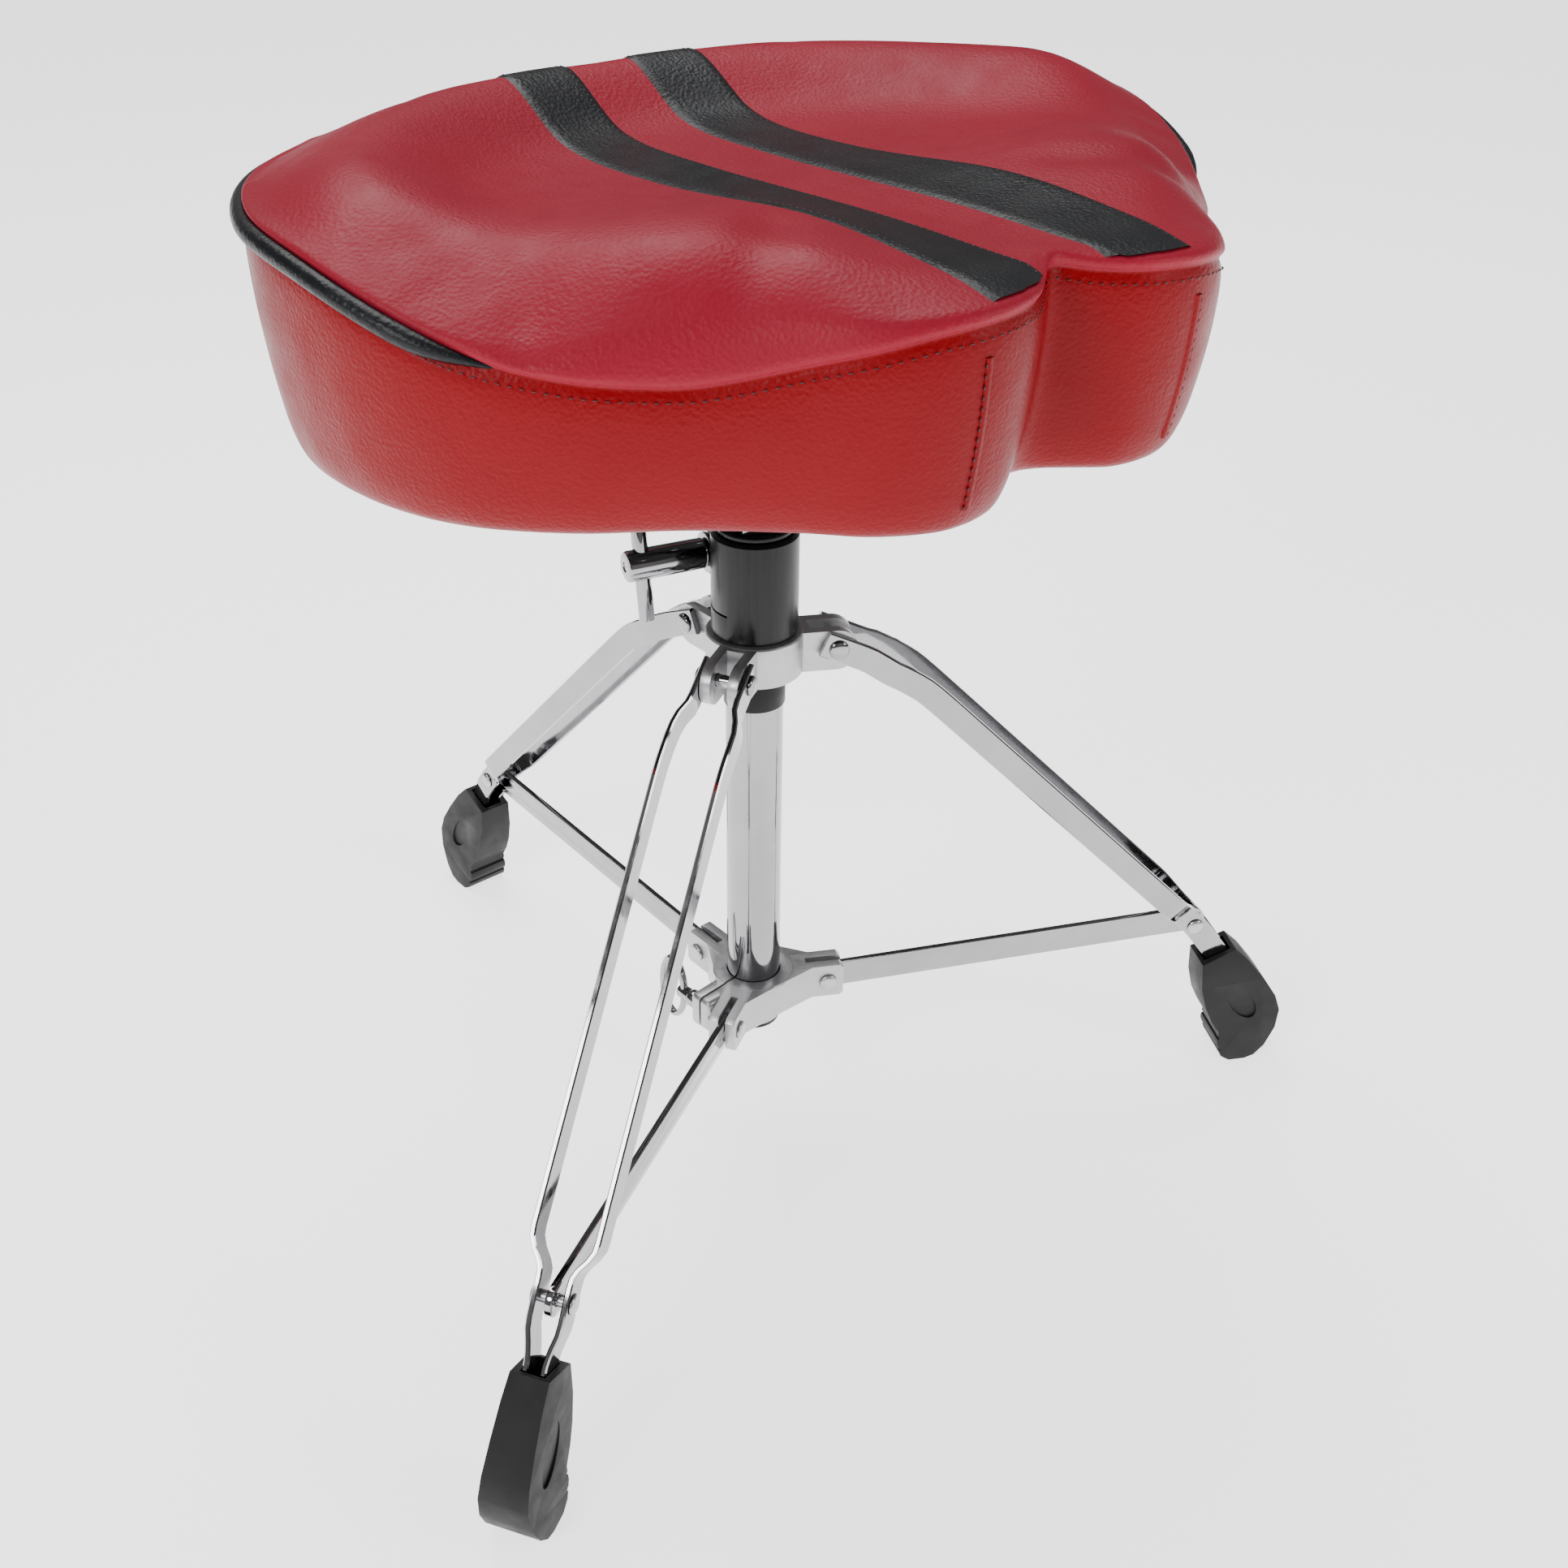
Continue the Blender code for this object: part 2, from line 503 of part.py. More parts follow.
def seat_outline(steps):
    """Points round the seat, clockwise from the rear, by a closed Catmull-Rom curve."""
    control = SEAT_HALF + [NOTCH] + [(-x, f) for x, f in reversed(SEAT_HALF[1:])]
    count = len(control)
    dense = []
    for i in range(count):
        a, b, c, d = (Vector(control[(i + k) % count]) for k in (-1, 0, 1, 2))
        for j in range(12):
            t = j / 12
            dense.append(0.5 * (2 * b + (c - a) * t + (2 * a - 5 * b + 4 * c - d) * t * t
                                + (3 * b - a - 3 * c + d) * t ** 3))
    lengths = [0.0]
    for i in range(len(dense)):
        lengths.append(lengths[-1] + (dense[(i + 1) % len(dense)] - dense[i]).length)
    points = []
    for k in range(steps):
        wanted = lengths[-1] * k / steps
        i = max(n for n in range(len(dense)) if lengths[n] <= wanted)
        share = (wanted - lengths[i]) / (lengths[i + 1] - lengths[i])
        points.append(dense[i].lerp(dense[(i + 1) % len(dense)], share))
    return points


def outline_normals(outline):
    """Outward normals; the outline starts at the rear, where the normal points backwards."""
    normals = []
    for i, after in enumerate(outline[1:] + outline[:1]):
        along = (after - outline[i - 1]).normalized()
        normals.append(Vector((along.y, -along.x)))
    outward = 1 if normals[0].y < 0 else -1
    return [normal * outward for normal in normals]


def smooth(value, low, high):
    share = min(max((value - low) / (high - low), 0.0), 1.0)
    return share * share * (3 - 2 * share)


def seam_height(x, f):
    """The seam is high round the back, dips beside the thighs and rises again to the notch."""
    broad = 0.030 * math.exp(-(((f - 0.110) / 0.070) ** 2))
    waist = 0.012 * math.exp(-(((f - 0.150) / 0.035) ** 2))
    return 0.5500 - (broad + waist) * smooth(abs(x), 0.02, 0.15) - 0.012 * smooth(f, 0.14, 0.19)


def top_height(x, f):
    """Top surface away from the rim: a rear roll, a dish, and a crown under each thigh."""
    reach = math.hypot(x / 0.225, (f - 0.02) / 0.165)
    roll = 0.026 * math.exp(-(((reach - 0.86) / 0.20) ** 2)) * (1 - smooth(f, -0.02, 0.11))
    crown = 0.016 * math.exp(-(((abs(x) - 0.105) / 0.060) ** 2) - ((f - 0.105) / 0.070) ** 2)
    fall = 0.012 * smooth(abs(x), 0.12, 0.23) * smooth(f, -0.02, 0.10)
    return 0.5420 + roll + crown - fall


def seat_rows():
    """Rows of points from the middle of the top, over the rim, down the wall and under the board."""
    outline = seat_outline(SEAT_STEPS)
    normals = outline_normals(outline)
    rows = []
    for share in (0.25, 0.45, 0.60, 0.72, 0.82, 0.90, 0.96):
        row = []
        for point in outline:
            x, f = point.x * share, 0.02 + (point.y - 0.02) * share
            edge = max(share - 0.80, 0.0) / 0.20
            blend = math.sqrt(max(1 - edge ** 2.4, 0.0))
            rim = seam_height(*point) + 0.0060
            row.append((x, -f, rim + (top_height(x, f) - rim) * blend))
        rows.append(row)
    wall = ((0.0000, 0.0052), (-0.0050, 0.0), (0.0000, -0.0052), (0.0002, -0.0110))
    for off, rise in wall:
        row = []
        for point, normal in zip(outline, normals):
            moved = point + normal * off
            row.append((moved.x, -moved.y, seam_height(*point) + rise))
        rows.append(row)
    for off, share in ((0.0000, 0.75), (-0.0018, 0.45), (-0.0045, 0.20)):
        row = []
        for point, normal in zip(outline, normals):
            moved = point + normal * off
            row.append((moved.x, -moved.y, 0.4620 + (seam_height(*point) - 0.0110 - 0.4620) * share))
        rows.append(row)
    for off, z in ((-0.0080, 0.4620), (-0.0120, 0.4550), (-0.0180, SEAT_BOTTOM), (-0.0400, SEAT_BOTTOM)):
        row = []
        for point, normal in zip(outline, normals):
            moved = point + normal * off
            row.append((moved.x, -moved.y, z))
        rows.append(row)
    return rows


def skin(bm, rows, middle):
    """A surface through rows of points, closed at the first row's middle."""
    made = [[bm.verts.new(point) for point in row] for row in rows]
    count = len(made[0])
    centre = bm.verts.new(middle)
    for i in range(count):
        bm.faces.new((centre, made[0][i], made[0][(i + 1) % count]))
    for upper, lower in zip(made, made[1:]):
        for i in range(count):
            k = (i + 1) % count
            bm.faces.new((upper[i], lower[i], lower[k], upper[k]))
    return made


def build_seat_cover(rows, middle):
    def build(bm):
        skin(bm, rows, middle)
    mesh = mesh_of("seat_cover", build)
    if mesh.polygons[0].normal.z < 0:
        mesh.flip_normals()
    cover = place("seat_cover", mesh, RED_VINYL, AXIS, smooth=True)
    shell = cover.modifiers.new("Thickness", "SOLIDIFY")
    shell.thickness = COVER_THICK
    shell.offset = -1
    return mesh


def build_seat_foam(rows, middle):
    """The cushion: the cover's own shape drawn in along its normals, cut off flat on the board."""
    inset = COVER_THICK + 0.0015
    foam_bottom = BOARD_BOTTOM + BOARD_THICK + GAP

    def build(bm):
        made = skin(bm, rows[:-3], middle)
        bmesh.ops.recalc_face_normals(bm, faces=bm.faces)
        bm.normal_update()
        moved = [vert.co - vert.normal * inset for vert in bm.verts]
        for vert, place_to in zip(bm.verts, moved):
            vert.co = place_to
        for vert in made[-1]:
            vert.co.z = foam_bottom
        for vert in made[-2]:
            vert.co.z = max(vert.co.z, foam_bottom + 0.003)
        bm.faces.new(made[-1])
    mesh = mesh_of("seat_foam", build)
    place("seat_foam", mesh, FOAM, AXIS, smooth=True)


def level_plate(name, look, inset, low, thick):
    """A flat piece that follows the seat's outline, drawn in by the inset."""
    outline = [tuple(p - n * inset) for p, n in zip(seat_outline(36), outline_normals(seat_outline(36)))]
    mesh = flat(name, [outline], thick)
    mesh.transform(Matrix.Rotation(math.radians(90), 4, "X"))
    return place(name, mesh, look, AXIS, location=(0, 0, low + thick / 2))


def build_piping():
    """The cord round the back of the seam, between the two sides of the thigh cut-outs."""
    outline = seat_outline(SEAT_STEPS)
    count = len(outline)
    back = [i for i in range(-count // 2, count // 2) if outline[i % count].y < 0.092]
    curve = bpy.data.curves.new("seat_piping", "CURVE")
    curve.dimensions = "3D"
    curve.bevel_depth = PIPING_R
    curve.bevel_resolution = 2
    curve.use_fill_caps = True
    spline = curve.splines.new("POLY")
    spline.points.add(len(back) - 1)
    for point, i in zip(spline.points, back):
        here = outline[i % count]
        point.co = (here.x, -here.y, seam_height(*here), 1)
    piping = bpy.data.objects.new("seat_piping", curve)
    PARTS.objects.link(piping)
    piping.parent = AXIS
    curve.materials.append(material("seat_piping", *BLACK_VINYL))


def build_stripe(name, side, cover_mesh):
    """A band of black vinyl laid on the cover from its back edge to the notch."""
    bm = bmesh.new()
    bm.from_mesh(cover_mesh)
    tree = BVHTree.FromBMesh(bm)
    bm.free()
    outline = seat_outline(400)

    def limits(x):
        near = [p.y for p in outline if abs(p.x - x) < 0.004]
        return min(near) + 0.0100, max(near) - 0.0090

    across, along = 3, 30

    def build(grid):
        rows = []
        for j in range(along + 1):
            row = []
            for i in range(across + 1):
                x = side * (STRIPE_OFFSET + STRIPE_WIDTH * (i / across - 0.5))
                back, front = limits(x)
                f = back + (front - back) * j / along
                hit = tree.ray_cast(Vector((x, -f, 1.0)), Vector((0, 0, -1)))[0]
                row.append(grid.verts.new((x, -f, hit.z + 0.0016)))
            rows.append(row)
        for first, second in zip(rows, rows[1:]):
            for i in range(across):
                grid.faces.new((first[i], first[i + 1], second[i + 1], second[i]))
    mesh = mesh_of(name, build)
    if mesh.polygons[0].normal.z < 0:
        mesh.flip_normals()
    stripe = place(name, mesh, BLACK_VINYL, AXIS, smooth=True)
    thick = stripe.modifiers.new("Thickness", "SOLIDIFY")
    thick.thickness = 0.0008
    thick.offset = 1


SCREW_SPOTS = [(-0.060, -0.042), (0.060, -0.042), (-0.060, 0.042), (0.060, 0.042)]


def build_bracket():
    """The steel mounting plate with its welded socket, screwed up into the board."""
    plate_low, plate_high = 0.4462, 0.4492
    bracket = place("seat_bracket", mesh_of("seat_bracket", lambda bm: box(
        bm, (-0.075, -0.055, plate_low), (0.075, 0.055, plate_high))), BLACK_METAL, AXIS)
    socket = helper("socket", lambda bm: rod(bm, (0, 0, 0.4070), (0, 0, plate_low + 0.001), 0.0160, 24), AXIS)
    combine(bracket, socket, "UNION")
    bore = helper("socket_bore", lambda bm: rod(bm, (0, 0, 0.39), (0, 0, POST_TOP + GAP), POST_R + GAP, 24), AXIS)
    combine(bracket, bore)
    combine(bracket, helper("set_screw_hole", lambda bm: rod(bm, (0, 0.005, 0.426), (0, 0.03, 0.426), 0.0028, 14),
                            AXIS))
    turned("socket_set_screw", [
        (0, 0.0210), (0.0040, 0.0210), (0.0045, 0.0205), (0.0045, 0.0164), (0.0025, 0.0164), (0.0025, 0.0114),
        (0, 0.0114),
    ], STEEL, AXIS, steps=16, location=(0, 0, 0.426), rotation=(math.radians(-90), 0, 0))
    board = level_plate("seat_board", PLYWOOD, 0.0235, BOARD_BOTTOM, BOARD_THICK)
    dust = level_plate("dust_cover", FABRIC, 0.0300, 0.4498, 0.0010)
    for number, (x, y) in enumerate(SCREW_SPOTS, 1):
        hole = helper("screw_hole", lambda bm: rod(bm, (0, 0, -0.02), (0, 0, 0.0105), 0.0027, 12), AXIS,
                      location=(x, y, 0.4495))
        for piece in (bracket, board, dust):
            combine(piece, hole)
        turned(f"bracket_screw_{number}", [
            (0, 0.0100), (0.0012, 0.0085), (0.0024, 0.0075), (0.0024, -0.0036), (0.0046, -0.0036),
            (0.0046, -0.0046), (0.0030, -0.0064), (0, -0.0068),
        ], STEEL, AXIS, steps=10, location=(x, y, 0.4495))


def build_seat():
    rows = seat_rows()
    middle = (0.0, -0.02, top_height(0.0, 0.02))
    cover = build_seat_cover(rows, middle)
    build_seat_foam(rows, middle)
    build_piping()
    build_stripe("stripe_left", 1, cover)
    build_stripe("stripe_right", -1, cover)
    build_bracket()


build_column()
build_upper_collar()
for leg_number, leg_azimuth in enumerate(LEG_AZIMUTHS, 1):
    build_leg(leg_number, leg_azimuth)
build_lower_collar()
build_clamp()
build_post()
build_seat()
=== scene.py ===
"""Looks for the drum throne: soft vinyl seat, chrome tripod, studio light and the camera."""

import math

import bmesh
import bpy
from mathutils import Matrix, Vector
from mathutils.bvhtree import BVHTree


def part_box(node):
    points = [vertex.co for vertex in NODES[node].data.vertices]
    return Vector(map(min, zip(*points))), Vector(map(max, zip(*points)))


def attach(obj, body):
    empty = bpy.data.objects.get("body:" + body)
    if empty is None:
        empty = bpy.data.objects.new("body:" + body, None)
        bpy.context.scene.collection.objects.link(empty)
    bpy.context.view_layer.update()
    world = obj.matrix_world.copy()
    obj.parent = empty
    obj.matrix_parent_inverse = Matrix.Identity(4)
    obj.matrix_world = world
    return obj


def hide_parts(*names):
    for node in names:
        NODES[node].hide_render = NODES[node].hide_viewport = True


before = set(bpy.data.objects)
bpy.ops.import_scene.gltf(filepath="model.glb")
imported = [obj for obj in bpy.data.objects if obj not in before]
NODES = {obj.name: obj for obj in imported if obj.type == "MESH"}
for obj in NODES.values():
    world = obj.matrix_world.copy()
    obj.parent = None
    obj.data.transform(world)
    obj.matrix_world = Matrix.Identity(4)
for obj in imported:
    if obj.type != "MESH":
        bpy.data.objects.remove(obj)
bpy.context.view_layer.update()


# Places taken from the frame ---------------------------------------------------------------------
def middle(node):
    low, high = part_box(node)
    return (Vector(low) + Vector(high)) / 2


def low_z(node):
    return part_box(node)[0][2]


def high_z(node):
    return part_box(node)[1][2]


COLUMN = Vector((middle("center_tube").x, middle("center_tube").y, 0.0))
LEG_AZIMUTHS = (-30.0, 90.0, 210.0)
TUBE_R = (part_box("center_tube")[1][0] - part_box("center_tube")[0][0]) / 2
POST_R = (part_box("seat_post")[1][0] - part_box("seat_post")[0][0]) / 2
SLEEVE_R = 0.0221
GAP = 0.0003
PIVOT_R, PIVOT_Z = 0.0412, 0.3081
COLLAR_PIN_R, COLLAR_PIN_Z = 0.0422, 0.0903
STRUT_PIN_R, STRUT_PIN_Z = 0.2620, 0.1030
CLAMP_AZIMUTH, CLAMP_OFFSET, CLAMP_Z = 75.0, 0.0285, 0.3500
WING_AZIMUTH, WING_OFFSET = 185.0, 0.0350
HANDLE_LEAN = 10.0


# Camera --------------------------------------------------------------------------------------------
def build_camera():
    """Stands in front of the sitter's right knee and looks down at the column."""
    place = COLUMN + Vector((-0.5275, -0.6287, 0.7428))
    heading, pitch, roll = math.radians(48.89), math.radians(32.29), math.radians(0.807)
    level = math.cos(pitch)
    forward = Vector((math.cos(heading) * level, math.sin(heading) * level, -math.sin(pitch)))
    right = forward.cross(Vector((0, 0, 1))).normalized()
    up = right.cross(forward)
    side = right * math.cos(roll) + up * math.sin(roll)
    top = up * math.cos(roll) - right * math.sin(roll)
    data = bpy.data.cameras.new("camera")
    data.angle = 2 * math.atan(966 / 2244)
    data.clip_end = 100
    camera = bpy.data.objects.new("camera", data)
    bpy.context.scene.collection.objects.link(camera)
    turn = Matrix((side, top, -forward)).transposed().to_4x4()
    camera.matrix_world = Matrix.Translation(place) @ turn
    bpy.context.scene.camera = camera


# Materials -----------------------------------------------------------------------------------------
class Look:
    """A Principled material, with short helpers for its node tree."""

    def __init__(self, name, colour, roughness, metallic=0.0, **fixed):
        self.material = bpy.data.materials.new(name)
        self.material.use_nodes = True
        self.nodes = self.material.node_tree.nodes
        self.links = self.material.node_tree.links
        self.shader = self.nodes["Principled BSDF"]
        self.shader.inputs["Base Color"].default_value = (*colour, 1)
        self.shader.inputs["Roughness"].default_value = roughness
        self.shader.inputs["Metallic"].default_value = metallic
        for socket, value in fixed.items():
            self.shader.inputs[socket.replace("_", " ")].default_value = value
        self.where = self.nodes.new("ShaderNodeTexCoord").outputs["Object"]
        self.bumped = None

    def add(self, kind, **values):
        node = self.nodes.new("ShaderNode" + kind)
        for name, value in values.items():
            if name in node.inputs:
                node.inputs[name].default_value = value
            else:
                setattr(node, name, value)
        return node

    def noise(self, scale, detail=3.0, stretch=None):
        node = self.add("TexNoise", Scale=scale, Detail=detail)
        self.links.new(self.stretched(stretch), node.inputs["Vector"])
        return node.outputs["Fac"]

    def cells(self, scale, feature="SMOOTH_F1"):
        node = self.add("TexVoronoi", Scale=scale, feature=feature)
        self.links.new(self.where, node.inputs["Vector"])
        return node.outputs["Distance"]

    def stretched(self, stretch):
        if stretch is None:
            return self.where
        node = self.add("Mapping", Scale=stretch)
        self.links.new(self.where, node.inputs["Vector"])
        return node.outputs["Vector"]

    def remap(self, value, low, high, to_low=0.0, to_high=1.0):
        node = self.add("MapRange")
        for socket, number in zip(("From Min", "From Max", "To Min", "To Max"), (low, high, to_low, to_high)):
            node.inputs[socket].default_value = number
        self.links.new(value, node.inputs["Value"])
        return node.outputs["Result"]

    def mix(self, factor, first, second):
        node = self.add("Mix", data_type="RGBA")
        self.links.new(factor, node.inputs["Factor"])
        for socket, colour in ((node.inputs[6], first), (node.inputs[7], second)):
            if isinstance(colour, tuple):
                socket.default_value = (*colour, 1)
            else:
                self.links.new(colour, socket)
        return node.outputs[2]

    def colour(self, output):
        self.links.new(output, self.shader.inputs["Base Color"])

    def rough(self, output):
        self.links.new(output, self.shader.inputs["Roughness"])

    def bump(self, height, strength, distance):
        node = self.add("Bump", Strength=strength, Distance=distance)
        self.links.new(height, node.inputs["Height"])
        if self.bumped:
            self.links.new(self.bumped, node.inputs["Normal"])
        self.bumped = node.outputs["Normal"]
        self.links.new(self.bumped, self.shader.inputs["Normal"])


def vinyl(name, colour, deep, roughness, shine):
    """Pebble-grained upholstery vinyl: rounded grains, a soft unevenness and a varied sheen."""
    look = Look(name, colour, roughness, Specular_IOR_Level=shine)
    grain = look.cells(620.0)
    fine = look.noise(1500.0, 2.0)
    cloud = look.noise(9.0, 4.0)
    look.bump(look.remap(cloud, 0.3, 0.7), 0.10, 0.0015)
    look.bump(grain, 0.42, 0.0006)
    look.bump(fine, 0.12, 0.0003)
    shade = look.mix(look.remap(cloud, 0.30, 0.72), colour, tuple(c * 0.86 for c in colour))
    look.colour(look.mix(look.remap(grain, 0.55, 0.95), shade, deep))
    look.rough(look.remap(look.noise(60.0, 3.0), 0.3, 0.7, roughness - 0.05, roughness + 0.07))
    return look.material


def chrome(name):
    """Polished plate with faint wipe marks and a slight unevenness in the strip beneath; darker patches in
    its colour are a painted mottled reflection.
    """
    look = Look(name, (0.34, 0.34, 0.35), 0.07, 1.0)
    look.rough(look.remap(look.noise(140.0, 6.0, (1, 1, 0.25)), 0.35, 0.8, 0.045, 0.16))
    look.bump(look.noise(28.0, 2.0), 0.05, 0.0010)
    # Painted reflection: noise patches darken the plate colour in place of a mottled surrounding reflected in
    # the chrome.
    look.colour(look.mix(look.noise(35.0, 3.0), (0.37, 0.37, 0.38), (0.27, 0.27, 0.28)))
    return look.material


def cast(name):
    """Satin die-cast alloy: a fine sandy skin with soft blotches."""
    look = Look(name, (0.70, 0.70, 0.71), 0.36, 0.85)
    look.bump(look.noise(2600.0, 2.0), 0.16, 0.0002)
    look.bump(look.noise(180.0, 3.0), 0.08, 0.0005)
    look.colour(look.mix(look.noise(55.0, 5.0), (0.49, 0.49, 0.50), (0.38, 0.38, 0.39)))
    look.rough(look.remap(look.noise(420.0, 3.0), 0.3, 0.7, 0.30, 0.44))
    return look.material


def black_metal(name):
    """Black satin finish over brushed steel."""
    look = Look(name, (0.012, 0.012, 0.013), 0.30, 0.0, Specular_IOR_Level=0.26)
    brushed = look.noise(700.0, 3.0, (1, 1, 0.04))
    look.bump(brushed, 0.10, 0.0002)
    look.rough(look.remap(brushed, 0.3, 0.7, 0.22, 0.40))
    look.colour(look.mix(look.noise(90.0, 4.0), (0.002, 0.002, 0.0022), (0.005, 0.005, 0.0055)))
    return look.material


def steel(name):
    look = Look(name, (0.45, 0.45, 0.46), 0.35, 1.0)
    look.rough(look.remap(look.noise(500.0, 3.0), 0.3, 0.7, 0.25, 0.45))
    look.bump(look.noise(900.0, 2.0), 0.08, 0.0002)
    look.colour(look.mix(look.noise(120.0, 3.0), (0.55, 0.55, 0.56), (0.36, 0.36, 0.38)))
    return look.material


def rubber(name):
    """Moulded rubber with a fine matt skin and dusty high spots."""
    look = Look(name, (0.006, 0.006, 0.006), 0.62, 0.0, Specular_IOR_Level=0.30)
    look.bump(look.noise(2200.0, 2.0), 0.20, 0.0002)
    dust = look.noise(75.0, 6.0)
    look.colour(look.mix(look.remap(dust, 0.35, 0.75), (0.004, 0.004, 0.0043), (0.011, 0.011, 0.011)))
    look.rough(look.remap(dust, 0.3, 0.7, 0.50, 0.72))
    return look.material


def nylon(name):
    look = Look(name, (0.003, 0.003, 0.003), 0.42, 0.0, Specular_IOR_Level=0.2)
    look.bump(look.noise(1200.0, 2.0), 0.08, 0.0002)
    look.rough(look.remap(look.noise(90.0, 3.0), 0.3, 0.7, 0.34, 0.50))
    look.colour(look.mix(look.noise(50.0, 3.0), (0.0022, 0.0022, 0.0024), (0.0045, 0.0045, 0.0048)))
    return look.material


def plywood(name):
    look = Look(name, (0.50, 0.35, 0.20), 0.70, 0.0)
    streaks = look.noise(40.0, 6.0, (0.15, 1.6, 12.0))
    look.colour(look.mix(look.remap(streaks, 0.3, 0.7), (0.56, 0.41, 0.24), (0.34, 0.22, 0.12)))
    look.bump(streaks, 0.25, 0.0006)
    look.rough(look.remap(streaks, 0.3, 0.7, 0.62, 0.80))
    return look.material


def weave(name):
    """Non-woven black cloth: fused dots over a fibrous ground."""
    look = Look(name, (0.005, 0.005, 0.005), 0.92, 0.0, Sheen_Weight=0.08, Specular_IOR_Level=0.2)
    dots = look.cells(420.0, "F1")
    look.bump(dots, 0.5, 0.0004)
    look.colour(look.mix(look.remap(dots, 0.15, 0.6), (0.0024, 0.0024, 0.0024), (0.0085, 0.0085, 0.0088)))
    look.rough(look.remap(look.noise(300.0, 3.0), 0.3, 0.7, 0.85, 0.97))
    return look.material


def thread(name, colour):
    """Twisted sewing thread."""
    look = Look(name, colour, 0.55, 0.0)
    twist = look.noise(2600.0, 2.0, (1, 1, 3))
    look.bump(twist, 0.5, 0.0002)
    look.colour(look.mix(twist, colour, tuple(min(c * 1.8 + 0.01, 1.0) for c in colour)))
    return look.material


def studio_floor(name):
    """White backdrop board, lit through from behind so that it stays pale to the edges."""
    look = Look(name, (0.90, 0.90, 0.90), 0.60, 0.0, Specular_IOR_Level=0.2, Emission_Strength=1.9)
    look.shader.inputs["Emission Color"].default_value = (1, 1, 1, 1)
    look.colour(look.mix(look.noise(3.0, 2.0), (0.90, 0.90, 0.90), (0.88, 0.88, 0.885)))
    return look.material


RED = vinyl("red_grained_vinyl", (0.205, 0.0003, 0.0036), (0.168, 0.0002, 0.0026), 0.40, 0.13)
# Painted sheen: the top panel's copy of the red vinyl is paler and pinker than the wall's, in place of the
# overhead light's broad reflection.
RED_TOP_PAINTED_SHEEN = vinyl("red_vinyl_painted_top_sheen", (0.275, 0.0090, 0.0250), (0.225, 0.0062, 0.0185), 0.46, 0.16)
BLACK = vinyl("black_grained_vinyl", (0.0052, 0.0055, 0.0072), (0.0023, 0.0024, 0.0031), 0.40, 0.24)
CHROME = chrome("chrome_plate")
CAST = cast("satin_casting")
BLACK_METAL = black_metal("satin_black_metal")
STEEL = steel("zinc_steel")
RUBBER = rubber("moulded_rubber")
NYLON = nylon("black_nylon")
PLYWOOD = plywood("raw_plywood")
CLOTH = weave("dust_cloth")
BLACK_THREAD = thread("black_thread", (0.006, 0.006, 0.006))
RED_THREAD = thread("dark_red_thread", (0.030, 0.0010, 0.0015))


# Mesh helpers --------------------------------------------------------------------------------------
def show(name, mesh, look, body, replaces=(), matrix=None):
    """Puts a finished mesh in the scene, riding on its body and standing for CAD nodes."""
    made = bpy.data.objects.new(name, mesh)
    bpy.context.scene.collection.objects.link(made)
    made.matrix_world = matrix or Matrix()
    made.data.materials.clear()
    made.data.materials.append(look)
    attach(made, body)
    if replaces:
        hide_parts(*replaces)
    return made


def mesh_of(name, build, smooth=False):
    bm = bmesh.new()
    build(bm)
    bmesh.ops.recalc_face_normals(bm, faces=bm.faces)
    mesh = bpy.data.meshes.new(name)
    bm.to_mesh(mesh)
    bm.free()
    for face in mesh.polygons:
        face.use_smooth = smooth
    return mesh


def box(bm, low, high):
    low, high = Vector(low), Vector(high)
    size = Matrix.Diagonal((*(high - low), 1.0))
    bmesh.ops.create_cube(bm, size=1.0, matrix=Matrix.Translation((low + high) / 2) @ size)


def rod(bm, start, end, radius, segments=48):
    start, end = Vector(start), Vector(end)
    turn = Vector((0, 0, 1)).rotation_difference(end - start).to_matrix().to_4x4()
    bmesh.ops.create_cone(
        bm, cap_ends=True, segments=segments, radius1=radius, radius2=radius,
        depth=(end - start).length, matrix=Matrix.Translation((start + end) / 2) @ turn,
    )


def rod_mesh(start, end, radius, segments=48):
    return mesh_of("rod", lambda bm: rod(bm, start, end, radius, segments))


def box_mesh(low, high):
    return mesh_of("box", lambda bm: box(bm, low, high))


def polar(azimuth, radius, z):
    angle = math.radians(azimuth)
    return COLUMN + Vector((radius * math.cos(angle), radius * math.sin(angle), z))


def yaw(degrees):
    return Matrix.Rotation(math.radians(degrees), 4, "Z")


def arc(centre, radius, start, end, steps):
    angles = [math.radians(start + (end - start) * i / steps) for i in range(steps + 1)]
    return [(centre[0] + radius * math.cos(a), centre[1] + radius * math.sin(a)) for a in angles]


def turned(name, profile, steps=96):
    """A (radius, height) profile spun round Z. A profile that returns to its start is a ring."""
    bm = bmesh.new()
    ring = profile[0] == profile[-1]
    points = profile[:-1] if ring else profile
    verts = [bm.verts.new((r, 0, z)) for r, z in points]
    edges = [bm.edges.new(pair) for pair in zip(verts, verts[1:])]
    if ring:
        edges.append(bm.edges.new((verts[-1], verts[0])))
    bmesh.ops.spin(bm, geom=verts + edges, cent=(0, 0, 0), axis=(0, 0, 1), angle=math.tau, steps=steps,
                   use_merge=True)
    bmesh.ops.remove_doubles(bm, verts=bm.verts, dist=0.000002)
    bmesh.ops.recalc_face_normals(bm, faces=bm.faces)
    mesh = bpy.data.meshes.new(name)
    bm.to_mesh(mesh)
    bm.free()
    sharpen(mesh)
    return mesh


def sharpen(mesh, degrees=32.0):
    """Smooth faces, with hard edges where two faces meet at more than this angle."""
    for face in mesh.polygons:
        face.use_smooth = True
    mesh.set_sharp_from_angle(angle=math.radians(degrees))


